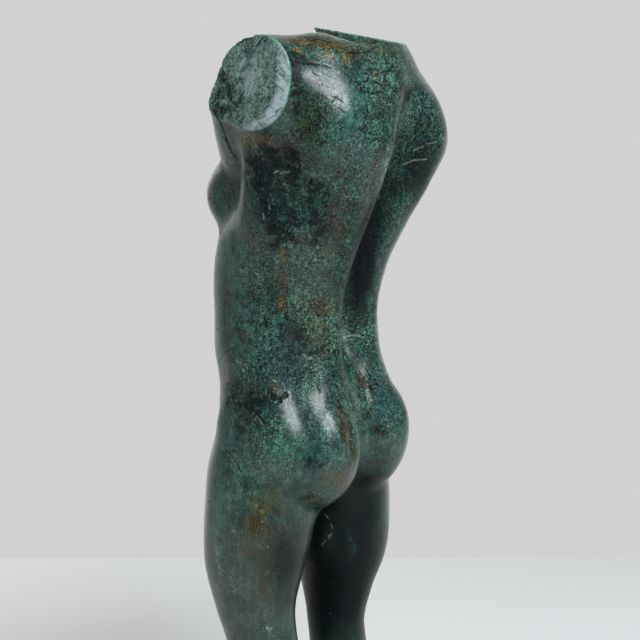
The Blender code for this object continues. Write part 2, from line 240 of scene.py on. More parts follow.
# %% Curves and joints
def flow(z, levels, values):
    """Smooth curve through one value for each level, read at the heights z."""
    levels = np.asarray(levels, float)
    values = np.asarray(values, float)
    slopes = np.gradient(values, levels)
    z = np.clip(z, levels[0], levels[-1])
    low = np.clip(np.searchsorted(levels, z, side="right") - 1, 0, len(levels) - 2)
    span = levels[low + 1] - levels[low]
    t = (z - levels[low]) / span
    start = (1 + 2 * t) * (1 - t) ** 2 * values[low] + t * (1 - t) ** 2 * span * slopes[low]
    end = t * t * (3 - 2 * t) * values[low + 1] - t * t * (1 - t) * span * slopes[low + 1]
    return start + end


def ease(value, start, end):
    """0 before start, 1 after end, and an S-shaped rise between them."""
    t = np.clip((value - start) / (end - start), 0, 1)
    return t * t * (3 - 2 * t)


def bell(value, width):
    """1 where the value is 0, and falling off to nothing over this width on both sides."""
    return np.exp(-((value / width) ** 2))


def melt(a, b, reach):
    """Two forms run together, with a fillet of this reach where they meet."""
    share = np.clip(0.5 + 0.5 * (b - a) / reach, 0, 1)
    return b + (a - b) * share - reach * share * (1 - share)


def trim(form, limit, reach):
    """The part of a form where limit is negative, with an edge rounded over this reach."""
    return -melt(-form, -limit, reach)


print("where two forms meet, a fillet with a reach of 1 adds", -melt(0.0, 0.0, 1.0))

# %% [markdown]
# The simple masses are an ellipsoid, a tapered rod with round ends, and an upright column of oval
# sections. Soft dents, swellings and grooves are pressed into them. Distances are negative inside.

# %% Simple masses
def minus(p, q):
    """The way from q to p, axis by axis."""
    return [p[i] - q[i] for i in range(3)]


def dot(p, q):
    """The sum over the three axes of p times q."""
    return sum(p[i] * q[i] for i in range(3))


def size(p, radii=(1, 1, 1)):
    """The length of p, with each axis measured in its own radius."""
    return np.sqrt(sum((p[i] / radii[i]) ** 2 for i in range(3)))


def egg(p, centre, radii, pitch=0.0, roll=0.0, yaw=0.0):
    """Distance from an ellipsoid turned about X, Y and Z by degrees, negative inside."""
    turned = Euler(np.radians((pitch, roll, yaw)), "XYZ").to_matrix().transposed()
    away = minus(p, centre)
    q = [dot(row, away) for row in turned]
    near = size(q, radii)
    return near * (near - 1) / np.maximum(size(q, [radius**2 for radius in radii]), 1e-6)


def press(p, body, *dents):
    """The body with soft dents. Each is a centre, its radii and a depth, or minus a swelling's height."""
    for centre, radii, depth in dents:
        body = body + depth * bell(size(minus(p, centre), radii), 1)
    return body


def limb(p, start, end, start_radius, end_radius):
    """Distance from a tapered rod with round ends."""
    axis = Vector(end) - Vector(start)
    away = minus(p, start)
    share = np.clip(dot(away, axis) / axis.length_squared, 0, 1)
    gap = minus(away, [share * part for part in axis])
    return size(gap) - start_radius - share * (end_radius - start_radius)


def furrow(p, start, end, depth, width):
    """A groove of this depth and half width along a straight line."""
    return depth * bell(limb(p, start, end, 0, 0), width)


def column(p, sections, power=2.0, twist=0.0):
    """Distance from an upright form given by oval sections at rising levels.

    A section is its level, its centre to the left and to the back, its half width, and its
    depths from that centre to the front and to the back.
    """
    x, y, z = p
    levels, *shape = zip(*sections)
    aside, behind, width, front, rear = (flow(z, levels, values) for values in shape)
    across = (x - aside) * np.cos(twist) + (y - behind) * np.sin(twist)
    back = (y - behind) * np.cos(twist) - (x - aside) * np.sin(twist)
    depth = np.where(back < 0, front, rear)
    share = (np.abs(across / width) ** power + np.abs(back / depth) ** power) ** (1 / power)
    out = np.sqrt(across**2 + back**2)
    return out - out / np.maximum(share, 1e-3)


print("distance at the axis of a rod 6 thick", limb((0.0, 0.0, 5.0), (0, 0, 0), (0, 0, 10), 3, 3))

# %% [markdown]
# The trunk, both legs and the long swellings beside the spine are columns: oval sections at rising
# levels, with a smooth curve through every measure. The chest turns a little above the waist.

# %% Sections of the trunk, the back and the legs
# Level, centre to the left, centre to the back, half width, depth to the front, depth to the back
TRUNK = (
    (27, 0.0, -0.5, 14.0, 8.4, 7.5),
    (36, 0.0, -0.5, 15.5, 9.2, 9.0),
    (42, 0.0, -0.2, 15.3, 9.4, 9.6),
    (47, 0.0, 0.0, 14.3, 9.6, 9.6),
    (52, 0.0, -0.3, 13.7, 10.6, 9.6),
    (58, 0.0, -0.6, 13.2, 10.9, 9.8),
    (64, 0.0, 0.6, 13.8, 12.2, 10.2),
    (70, -0.2, 2.8, 15.3, 13.0, 10.4),
    (77, -0.6, 5.0, 15.6, 11.4, 11.0),
    (84, -0.8, 7.2, 15.4, 10.2, 10.6),
    (89, -1.0, 8.4, 14.0, 9.2, 9.6),
    (94, -1.0, 9.2, 10.0, 7.2, 8.0),
    (98, -1.0, 9.8, 7.0, 6.0, 6.6),
)
# The long swelling beside the spine, from the loins up over the shoulder blade, for the left side
BACK_ROLL = (
    (43, 6.0, 5.8, 4.0, 4.0, 4.0),
    (48, 5.8, 6.5, 4.2, 4.2, 4.2),
    (52, 5.0, 6.2, 4.1, 4.1, 4.0),
    (58, 4.3, 6.0, 4.1, 4.2, 4.0),
    (64, 4.2, 6.8, 4.5, 4.6, 4.4),
    (70, 4.7, 8.9, 5.1, 5.4, 5.0),
    (77, 5.9, 11.6, 6.1, 6.6, 5.8),
    (83, 6.9, 13.4, 6.5, 6.8, 6.2),
    (88, 5.2, 13.5, 6.0, 6.4, 5.8),
    (93, 3.2, 11.8, 5.0, 5.2, 5.0),
    (97, 3.0, 11.0, 4.0, 4.0, 4.0),
)
LEFT_LEG = (
    (-4, 8.0, 1.0, 5.0, 5.0, 5.2),
    (3, 8.2, 0.4, 5.3, 5.6, 5.4),
    (9, 8.4, -0.8, 5.1, 5.4, 5.2),
    (14, 8.6, -1.9, 5.8, 5.9, 5.6),
    (21, 8.7, -2.0, 7.3, 7.3, 7.2),
    (28, 8.5, -1.2, 8.1, 8.3, 8.2),
    (36, 7.8, -0.4, 7.9, 8.7, 8.6),
)
RIGHT_LEG = (
    (-4, -8.2, 2.6, 4.4, 4.3, 4.5),
    (3, -8.4, 1.9, 4.6, 4.7, 4.3),
    (9, -8.5, 1.1, 4.5, 4.6, 4.1),
    (14, -8.6, 0.9, 5.2, 5.2, 5.5),
    (21, -8.7, 1.0, 7.0, 7.0, 7.8),
    (28, -8.6, 1.0, 8.0, 8.2, 8.2),
    (36, -8.0, 0.6, 8.2, 9.0, 8.6),
)

# The chest turns to its right above the waist
TWIST_LEVELS = (54, 78)
CHEST_TWIST = np.radians(8)


def pelvis_and_legs(p):
    """Trunk, thighs and buttocks before the small forms."""
    x, y, z = p
    twist = CHEST_TWIST * ease(z, *TWIST_LEVELS)
    trunk = column(p, TRUNK, 2.2, twist)
    trunk = trim(trunk, 29.5 - z, 5.0)
    trunk = trim(trunk, z - 98, 4.0)
    legs = np.minimum(column(p, LEFT_LEG), column(p, RIGHT_LEG))
    legs = trim(legs, z - 39, 6.0)
    body = melt(trunk, legs, 3.0)
    left = egg(p, (6.6, 5.2, 38.8), (7.6, 8.6, 9.2), pitch=-12)
    right = egg(p, (-6.6, 5.3, 39.3), (7.4, 8.4, 9.6), pitch=-12)
    seat = melt(left, right, 0.8)
    crease = 1.0 + 3.0 * ease(z, 33, 40)
    return melt(body, seat, crease)


print(len(TRUNK), "sections of the trunk,", len(LEFT_LEG), "of each leg")

# %% [markdown]
# The shoulders are tapered rods that meet in crests behind the arms. The neck is another, and the
# breasts are ellipsoids on the front of the ribs.

# %% Shoulders and chest
def shoulders(p, body):
    """The raised left shoulder, the lower right one, the crests behind them, and the neck."""
    left = limb(p, (8, 9, 88.5), (30, 4.4, 91.6), 7.5, 3.9)
    right = limb(p, (-8, 10, 85.5), (-23, 4.5, 84.5), 7.2, 5.8)
    outer_crest = limb(p, (21, 6.3, 91.9), (10, 9.8, 92.3), 4.9, 5.2)
    inner_crest = limb(p, (10, 9.8, 92.3), (2.5, 12.6, 91.2), 5.2, 4.8)
    neck = limb(p, (-0.6, 8.4, 84), (-1.2, 10.2, 110), 6.7, 6.2)
    body = melt(body, melt(left, melt(outer_crest, inner_crest, 1.0), 2.5), 3.5)
    body = melt(body, right, 4.5)
    body = melt(body, neck, 1.4)
    blade = egg(p, (11.2, 12.1, 86.0), (5.4, 6.0, 7.0), roll=-14)
    body = melt(body, blade, 2.5)
    body = melt(body, limb(p, (17.0, 5.0, 86.0), (13.0, 3.5, 73.0), 3.0, 3.4), 3.0)
    dents = ((19.3, 12.4, 89.5), (2.4, 3.0, 6.0), 1.2), ((15.6, 11.6, 94.4), (2.8, 3.0, 3.0), 0.9)
    body = press(p, body, *dents)
    foot_of_neck = (3.4, 3.6, 97.6), (7.2, 9.6, 97.9), (5.0, 14.6, 97.4)
    return body + np.maximum(*(furrow(p, *ends, 1.3, 1.4) for ends in zip(foot_of_neck, foot_of_neck[1:])))


def chest(p, body):
    """Breasts on the front of the ribs, the folds from them up to the arms, and the collar."""
    left = limb(p, (7.5, -2.5, 79), (20.5, 1.5, 88.2), 4.8, 2.0)
    right = limb(p, (-7.5, -2.0, 78), (-15.5, 3.2, 82.5), 4.8, 4.0)
    body = melt(body, melt(left, right, 1.0), 2.2)
    body = melt(body, limb(p, (2.2, 3.8, 92.4), (13.5, 2.8, 93.4), 1.0, 1.4), 3.0)
    body = melt(body, limb(p, (-2.8, 4.0, 91.8), (-12.5, 3.8, 89.2), 1.0, 1.2), 3.0)
    for side in (LEFT, RIGHT):
        breast = egg(p, (side * 6.8, -4.2, 75.4), (5.9, 6.3, 6.3), pitch=8, yaw=side * 12)
        body = melt(body, breast, 2.0)
        body = press(p, body, ((side * 16.5, 4.5, 80.0), (3.0, 4.0, 3.5), 0.5))
    return press(p, body, ((-0.4, 2.2, 92.2), (2.2, 2.5, 2.6), 0.9))


in_neck = (-1.0, 9.4, 97.0)
print("distance at the neck's axis", shoulders(in_neck, pelvis_and_legs(in_neck)))

# %% [markdown]
# The hips and the belly are swellings and dents on the trunk. The back has a long swelling on each
# side, and the furrow of the spine between them is pressed in last.

# %% Hips, belly and back
def hips(p, body):
    """The shelf and the swellings of each hip, and a long gouge down the left buttock."""
    for side in (LEFT, RIGHT):
        body = press(
            p, body,
            ((side * 12.6, 5.0, 42.0), (3.0, 3.4, 4.5), -0.8),
            ((side * 8.6, 11.0, 42.0), (2.4, 3.4, 5.0), -0.6),
            ((side * 12.2, 8.0, 50.0), (3.6, 5.0, 2.6), 0.7),
            ((side * 14.0, 3.5, 33.5), (3.0, 4.6, 4.2), 0.6),
        )
    body = body + furrow(p, (12.8, 7.4, 47.5), (12.4, 9.8, 41.5), 0.45, 1.5)
    return body + furrow(p, (7.4, 10.0, 46.0), (6.8, 13.6, 39.5), 0.6, 1.2)


def belly(p, body):
    """The navel, the line above it, and the folds from the hips down to the thighs."""
    x, y, z = p
    front = ease(-y, 3, 7)
    line = flow(z, (46, 56, 62, 70, 78, 84), (0, 0.35, 0.55, 0.8, 0.6, 0))
    body = body + line * bell(x, 2.3) * front
    body = press(
        p, body,
        ((0, -11.6, 53.8), (1.1, 2.5, 1.3), 1.4),
        ((0, -10.5, 49.5), (7.5, 4.0, 4.5), -0.9),
        ((0, -7.5, 33.5), (3.6, 4.0, 4.0), -1.0),
    )
    for side in (LEFT, RIGHT):
        along = (side * x - 4.5) * 0.62 + (z - 35.0) * 0.78
        across = (z - 35.0) * 0.62 - (side * x - 4.5) * 0.78
        body = body + 0.75 * bell(across, 1.3) * bell(along - 4.5, 6.5) * front
        body = press(p, body, ((side * 12.5, -5.5, 50.0), (2.6, 4.0, 2.2), 0.5))
    return body


def back(p, body):
    """The long swellings of the back, and the furrow of the spine between them."""
    x, y, z = p
    spine = flow(z, (44, 58, 72, 86, 96), (0, 0, -0.4, -0.8, -0.8))
    for side in (LEFT, RIGHT):
        roll = column(((x - spine) * side, y, z), BACK_ROLL)
        roll = trim(roll, 45 - z, 3.0)
        roll = trim(roll, z - (95 if side == LEFT else 92), 3.0)
        body = melt(body, roll, 2.0)
    body = melt(body, limb(p, (2.5, 13.2, 88.6), (-1.5, 12.6, 88.6), 4.6, 4.6), 3.0)
    body = melt(body, egg(p, (0.0, 5.6, 44.0), (5.5, 5.6, 8.5)), 3.0)
    depth = flow(z, (40, 46, 52, 58, 66, 76, 83, 88, 91), (0, 0.7, 1.9, 3.1, 4.2, 4.4, 3.2, 1.2, 0))
    width = flow(z, (44, 58, 72, 84, 92), (2.2, 2.4, 2.8, 3.3, 2.8))
    return body + depth * bell(x - spine, width) * ease(y, 0, 5)


def torso(p):
    """Distance from the whole figure before it is cut, in figure units."""
    body = pelvis_and_legs(p)
    body = shoulders(p, body)
    body = chest(p, body)
    body = belly(p, body)
    body = hips(p, body)
    return back(p, body)


print("distance from the waist's skin to the figure's axis", torso((0.0, 0.0, 58.0)))

# %% [markdown]
# ## Cuts and skin
#
# The neck, the arms and the legs end in flat cuts, as if sawn. The founder has chased the left
# arm's cut, so that it falls away towards the back in a broad crescent. Each cut is one more
# distance, and the solid is where both distances are below zero.

# %% Cuts
# A cut is the middle of its flat face, the way that face looks out, and how far the cut reaches
NECK_CUT = ((-1.0, 10.4, 97.9), Vector((-0.04, 0.19, 1.0)).normalized(), 12.0)
LEFT_ARM_CUT = ((20.5, 5.2, 90.6), Vector((1.0, 0.05, 0.12)).normalized(), 16.0)
RIGHT_ARM_CUT = ((-18.6, 6.0, 84.7), Vector((-1.0, -0.12, 0.02)).normalized(), 10.0)
KNEE_CUT = ((0.0, 0.0, 0.0), Vector((0.0, 0.0, -1.0)), 40.0)
# The chased crescent on the left arm's cut: the middle of the flat that is left inside it, its half
# width and half height, and how steeply the crescent falls away
CRESCENT = (-1.0, 1.5, 6.0, 7.0, 0.5)


def fall_away(p, cut):
    """How much lower the cut lies in its crescent."""
    middle, facing, _ = cut
    backward = (Vector((0, 1, 0)) - facing.y * facing).normalized()
    behind, above, half_width, half_height, slope = CRESCENT
    away = minus(p, middle)
    back = (dot(away, backward) - behind) / half_width
    rise = (dot(away, facing.cross(backward)) - above) / half_height
    out = np.sqrt(back**2 + rise**2)
    return slope * np.maximum(0, out - 1) * (half_width + half_height) / 2 * ease(back, -0.2, 0.3)


def beyond(p, cut):
    """Distance past a cut's flat face, and nothing out of the cut's reach."""
    middle, facing, reach = cut
    away = minus(p, middle)
    past = dot(away, facing)
    if cut is LEFT_ARM_CUT:
        past = past + fall_away(p, cut)
    return np.minimum(past, reach - size(away))


def cut_distance(p):
    """Distance past the cuts."""
    return np.maximum.reduce([beyond(p, cut) for cut in (NECK_CUT, LEFT_ARM_CUT, RIGHT_ARM_CUT, KNEE_CUT)])


def figure(p):
    """Distance from the uncut figure, and distance past its cuts."""
    return np.array((torso(p), cut_distance(p)))


print("the arm's cut, at its back edge, lies lower by", fall_away((20.5, 14.0, 90.6), LEFT_ARM_CUT))

# %% [markdown]
# Now the skin. A grid of cells is laid through the solid: each cell that the surface crosses gets
# one corner, in the middle of the points where it does, and corners of neighbouring cells are
# joined. A corner whose cell is crossed by the skin and by a cut is on the cut's rim.

# %% A net of faces
BOX_LOW, BOX_HIGH = (-22.0, -16.0, -2.0), (24.0, 24.0, 102.0)
SKIN_STEP = 0.5


def crossings(start, end):
    """Where an edge leaves the solid, as a share of its length, and through which field."""
    outward = start.max(0) < 0
    inner = np.where(outward, start, end)
    outer = np.where(outward, end, start)
    share = np.where(outer > 0, inner / np.minimum(inner - outer, -1e-9), 2.0)
    first = share.min(0)
    return np.where(outward, first, 1 - first), share.argmin(0), outward


def untangle(values, step):
    """Fills in a few grid points, so that the surface nowhere touches itself along an edge.

    It would where two grid points across a square are inside and the other two are outside.
    """
    for _ in range(8):
        inside = values.max(0) < 0
        filled = np.zeros_like(inside)
        for one, other in ((0, 1), (0, 2), (1, 2)):
            beside, above = np.roll(inside, -1, one), np.roll(inside, -1, other)
            across = np.roll(beside, -1, other)
            crossed = (inside == across) & (beside == above) & (inside != beside)
            filled |= crossed & ~inside | np.roll(crossed & inside, 1, one)
        if not filled.any():
            break
        values[:, filled] = np.minimum(values[:, filled], -0.01 * step)
    return values


def skin(fields, low, high, step):
    """Corners and four-sided faces of the solid where all the fields are below zero.

    The third result says which corners are on a rim. Each crossed edge gets one face, round it.
    """
    counts = [int(np.ceil((high[i] - low[i]) / step)) + 1 for i in range(3)]
    marks = [low[i] + step * np.arange(counts[i]) for i in range(3)]
    grid = (marks[0][:, None, None], marks[1][None, :, None], marks[2][None, None, :])
    values = untangle(fields(grid), step)
    inside = values.max(0) < 0
    cells = np.array(counts) - 1
    total = np.zeros((3, *cells))
    hits = np.zeros((2, *cells))
    edges = []
    for axis in range(3):
        ahead = np.eye(3, dtype=int)[axis]
        start = tuple(slice(0, count - one) for count, one in zip(counts, ahead))
        end = tuple(slice(one, count) for count, one in zip(counts, ahead))
        at = np.argwhere(inside[start] != inside[end])
        here, there = tuple(at.T), tuple((at + ahead).T)
        share, kind, outward = crossings(values[(slice(None), *here)], values[(slice(None), *there)])
        edges.append((at, outward))
        for one in (0, 1):
            for other in (0, 1):
                step_back = np.insert((one, other), axis, 0)
                cell = at - step_back
                real = ((cell >= 0) & (cell < cells)).all(1)
                place = tuple(cell[real].T)
                spot = step_back + share[real, None] * ahead
                np.add.at(hits, (kind[real], *place), 1)
                for i in range(3):
                    np.add.at(total[i], place, spot[:, i])
    used = hits.sum(0) > 0
    corners = low + step * (np.argwhere(used) + (total[:, used] / hits[:, used].sum(0)).T)
    on_rim = (hits[:, used] > 0).all(0)
    number = np.full(cells, -1)
    number[used] = np.arange(len(corners))
    faces = []
    for axis, (at, outward) in enumerate(edges):
        ring = []
        for back_one, back_other in ((1, 1), (0, 1), (0, 0), (1, 0)):
            cell = at.copy()
            cell[:, (axis + 1) % 3] -= back_one
            cell[:, (axis + 2) % 3] -= back_other
            ring.append(number[tuple(cell.T)])
        ring = np.array(ring).T
        faces.append(np.where(outward[:, None], ring, ring[:, ::-1]))
    return corners, np.concatenate(faces), on_rim


corners, faces, on_rim = skin(figure, BOX_LOW, BOX_HIGH, SKIN_STEP)
print("net:", len(corners), "corners,", len(faces), "faces,", on_rim.sum(), "corners on a rim")

# %% [markdown]
# The net's corners are only near the surface, so they are moved onto it: those on the skin along
# its slope, those on a cut onto the cut, and those on a rim onto both at once, so it's crisp.

# %% Settle corners on the surface
RIM_NEARNESS = 0.04


def lengths(rows):
    """The length of each row."""
    return np.linalg.norm(rows, axis=1)


def gradient(field, points, reach=0.05):
    """The way the field grows fastest, at each point."""
    slope = np.empty_like(points)
    for axis in range(3):
        step = np.zeros(3)
        step[axis] = reach
        slope[:, axis] = (field((points + step).T) - field((points - step).T)) / (2 * reach)
    return slope


def settle(points, reach, rounds=2):
    """Moves points onto the skin, a cut or the rim between them, by no more than the reach."""
    start = points.copy()
    for _ in range(rounds):
        distances = figure(points.T)
        skin_slope = gradient(torso, points)
        cut_slope = gradient(cut_distance, points)
        near_rim = (distances > -RIM_NEARNESS).all(0)
        on_skin = distances[0] >= distances[1]
        slope = np.where(on_skin[:, None], skin_slope, cut_slope)
        steepness = np.maximum((slope**2).sum(1), 0.1)
        move = -slope * (distances.max(0) / steepness)[:, None]
        aa, bb = (skin_slope**2).sum(1), (cut_slope**2).sum(1)
        ab = (skin_slope * cut_slope).sum(1)
        spread = np.maximum(aa * bb - ab * ab, 0.05)
        skin_share = (bb * distances[0] - ab * distances[1]) / spread
        cut_share = (aa * distances[1] - ab * distances[0]) / spread
        both = -skin_share[:, None] * skin_slope - cut_share[:, None] * cut_slope
        points = points + np.where(near_rim[:, None], both, move)
        points = start + np.clip(points - start, -reach, reach)
    return points


corners[on_rim] = settle(corners[on_rim], 0.6 * SKIN_STEP, 4)
corners = settle(corners, 0.6 * SKIN_STEP, 1)
print("corners lie off the surface by", round(np.abs(figure(corners.T).max(0)).max(), 3), "at most")

# %% [markdown]
# ## Marks, each in its place
#
# An old casting is known by its marks: file strokes, scratches, a seam that opened under the arm,
# patches where the patina turned brown or ochre. Each one is written down by where the camera
# sees it, in pixels of a 640 pixel frame. The stains come first: soft oval patches. Some kinds
# hold painted shade and painted highlights, as said at each kind.

# %% Stains
# For each kind: pixel across and down, half width, half height, lean in degrees, strength
STAINS = {
    "brown": (
        (316, 43, 46, 7, 8, 1.0), (262, 143, 30, 11, 12, 0.9), (283, 285, 6, 34, 2, 0.8),
        (300, 240, 10, 14, 0, 0.6), (338, 240, 12, 26, 8, 0.5), (322, 305, 16, 14, 0, 0.6),
        (248, 335, 11, 14, 0, 0.9), (231, 383, 9, 14, -20, 0.8), (253, 292, 8, 8, 0, 0.7),
        (344, 424, 7, 26, -18, 0.9), (363, 378, 8, 15, -15, 0.9), (255, 525, 18, 26, 0, 0.4),
        (250, 570, 16, 40, 0, 0.35), (258, 530, 6, 8, 0, 0.8), (246, 546, 5, 8, 0, 0.7),
        (266, 592, 6, 10, 0, 0.8), (270, 386, 5, 10, -15, 0.9), (302, 575, 10, 50, 0, 0.8),
        (232, 180, 6, 12, 0, 0.6), (228, 222, 8, 20, 0, 0.6), (306, 565, 22, 50, 0, 0.5),
        (340, 470, 18, 26, 20, 0.45), (372, 400, 6, 16, 0, 0.5), (405, 96, 6, 9, 0, 0.8),
        (398, 148, 8, 12, 0, 0.5), (268, 545, 12, 60, 0, 0.35), (374, 478, 16, 8, 0, 0.5),
        (345, 484, 22, 10, 20, 0.6), (338, 205, 9, 26, 12, 0.5),
    ),
    # ochre: ochre spots and streaks, and a band along the top of the left shoulder that is partly a painted
    # highlight on its rim
    "ochre": (
        (254, 505, 4, 3, 0, 0.55), (263, 512, 3, 3, 0, 0.6), (248, 521, 3, 4, 0, 0.5),
        (262, 546, 3, 4, 0, 0.6), (268, 573, 3, 5, 0, 0.6), (299, 50, 6, 4, 0, 0.9),
        (322, 44, 44, 5, 8, 0.55), (262, 142, 24, 6, 10, 0.6), (327, 57, 7, 6, 0, 1.0),
        (347, 59, 5, 8, 0, 0.8), (376, 75, 4, 5, 0, 0.7), (289, 134, 4, 5, 0, 0.6),
        (293, 105, 4, 6, 0, 0.5), (250, 141, 12, 5, 8, 0.5), (283, 256, 4, 8, 0, 0.8),
        (282, 302, 4, 14, 0, 0.7), (310, 500, 8, 3, -5, 0.7), (262, 512, 14, 8, 0, 0.2),
        (420, 130, 4, 6, 0, 0.5), (331, 170, 8, 20, 0, 0.35),
    ),
    # pale: pale flecks and marks, and painted highlights on the shoulder blade, the hips, the right buttock,
    # the ridge of the back and the left thigh's edge; the lighter middle of the arm's cut is partly painted
    # light
    "pale": (
        (250, 494, 2, 2, 0, 0.6), (262, 521, 2, 2, 0, 0.6), (233, 530, 2, 3, 0, 0.5),
        (264, 628, 8, 5, 0, 0.6), (268, 546, 2, 2, 0, 0.6), (281, 172, 10, 5, -5, 0.42),
        (330, 90, 14, 22, 0, 0.25), (283, 415, 6, 14, -12, 0.35), (327, 412, 6, 18, -18, 0.35),
        (369, 395, 3, 14, -5, 0.3), (384, 170, 4, 60, 10, 0.35), (356, 400, 8, 40, -4, 0.3),
        (307, 360, 8, 8, 0, 0.3), (219, 560, 10, 60, 0, 0.35), (302, 356, 6, 4, 0, 0.35),
        (250, 78, 16, 22, 0, 0.7), (369, 393, 4, 16, -5, 0.4),
    ),
    # dark: dark patina, and painted shade in the armpit, in the valley beside the arm's cut and right of the
    # spine's furrow, and a painted dark reflection down the left flank
    "dark": (
        (284, 160, 26, 12, 12, 0.8), (276, 190, 18, 40, 0, 0.75), (297, 85, 7, 28, 0, 0.9),
        (312, 130, 14, 12, 0, 0.4), (291, 58, 8, 6, 30, 0.9), (407, 92, 5, 8, 0, 0.9),
        (262, 395, 16, 26, 0, 0.5), (300, 345, 22, 26, 0, 0.45), (232, 395, 10, 20, 0, 0.6),
        (225, 460, 10, 18, 0, 0.6), (312, 456, 22, 14, 20, 0.6), (374, 432, 16, 5, 0, 0.8),
        (330, 350, 30, 10, 0, 0.3), (390, 180, 10, 30, 10, 0.4), (280, 235, 16, 40, 0, 0.5),
        (318, 215, 24, 42, 0, 0.6), (416, 165, 18, 36, 0, 0.5), (242, 420, 20, 30, 0, 0.5),
        (230, 100, 12, 26, 0, 0.6), (266, 172, 26, 20, 0, 0.8), (221, 96, 8, 22, 0, 0.6),
    ),
    "grey": (
        (345, 480, 26, 16, 20, 1.0), (240, 300, 22, 30, 0, 0.3), (352, 300, 8, 60, 8, 0.6),
        (385, 470, 16, 14, 0, 0.5), (275, 560, 34, 80, 0, 1.0),
    ),
    # Painted shade: the right half of the back, the furrow of the spine, the shadow under the buttocks and
    # the right leg
    "soot": (
        (352, 560, 44, 90, 0, 0.9), (330, 610, 34, 50, 0, 0.8), (400, 190, 36, 90, 0, 0.38),
        (340, 280, 14, 50, 0, 0.28), (388, 452, 30, 32, 0, 0.4), (335, 486, 32, 13, 0, 0.28),
        (362, 275, 12, 60, 6, 0.95), (258, 565, 22, 60, 0, 0.3), (352, 508, 28, 22, 0, 0.9),
        (420, 165, 16, 40, 0, 0.35), (318, 220, 24, 44, 0, 0.35), (276, 165, 26, 26, 0, 0.5),
        (285, 560, 18, 50, 0, 0.45), (372, 225, 12, 50, 12, 0.7), (368, 484, 26, 12, 0, 0.6),
        (226, 452, 9, 16, 0, 0.45), (312, 468, 12, 14, 10, 0.4), (290, 335, 9, 34, 0, 0.35),
        (268, 225, 12, 34, 0, 0.3), (216, 168, 10, 14, 0, 0.4), (405, 65, 12, 22, -20, 0.3),
        (432, 150, 16, 60, 0, 0.3), (292, 560, 26, 70, 0, 0.25),
    ),
    "olive": (
        (365, 45, 34, 10, 8, 0.8), (318, 322, 24, 40, 0, 0.9), (330, 238, 14, 28, 0, 0.7),
        (340, 480, 22, 12, 10, 0.9), (300, 180, 12, 24, 0, 0.6), (262, 500, 26, 16, 0, 0.6),
        (362, 440, 8, 40, 0, 0.5), (372, 180, 8, 60, 8, 0.5), (285, 560, 16, 60, 0, 0.5),
        (424, 150, 10, 40, 0, 0.4), (305, 130, 16, 18, 0, 0.5),
    ),
    # sea: lighter green patina, and along the left contour painted light on the side turned to the light
    "sea": (
        (234, 250, 13, 60, 0, 0.9), (222, 200, 8, 30, 0, 0.6), (226, 420, 14, 44, 0, 0.8),
        (350, 110, 16, 30, 0, 0.7), (292, 448, 20, 22, 0, 0.5), (330, 150, 14, 20, 0, 0.5),
        (218, 520, 8, 60, 0, 0.8), (218, 300, 8, 90, 0, 0.7), (352, 545, 7, 26, 0, 0.4),
        (368, 420, 8, 30, 0, 0.5), (246, 330, 16, 40, 0, 0.6), (330, 460, 12, 24, 0, 0.3),
        (388, 400, 14, 30, 0, 0.4), (250, 60, 26, 16, 0, 0.4), (246, 84, 12, 18, 0, 0.5),
    ),
    "dull": (
        (219, 265, 9, 90, 0, 0.7), (222, 410, 12, 50, 0, 0.6), (378, 476, 22, 14, 0, 0.9),
        (325, 364, 17, 25, 0, 1.0), (318, 380, 12, 11, 0, 0.9), (284, 382, 12, 13, 0, 1.0),
        (300, 440, 12, 11, -20, 1.0), (357, 358, 14, 17, 20, 1.0), (301, 67, 9, 8, 0, 0.9),
        (216, 168, 14, 18, 0, 1.0), (405, 65, 14, 24, -20, 0.9), (317, 30, 5, 5, 0, 1.0),
        (425, 160, 26, 80, 0, 0.8), (345, 250, 14, 80, 6, 0.8), (290, 560, 30, 80, 0, 0.7),
    ),
    "teal": (
        (280, 365, 26, 36, 0, 0.9), (235, 430, 20, 30, 0, 0.8), (382, 400, 16, 40, 0, 0.8),
        (262, 215, 24, 40, 0, 0.8), (312, 470, 14, 20, 0, 0.9), (355, 560, 12, 40, 0, 0.8),
        (350, 120, 20, 24, 0, 0.6), (240, 310, 14, 40, 0, 0.6),
    ),
}
print(sum(map(len, STAINS.values())), "stains of", len(STAINS), "kinds")
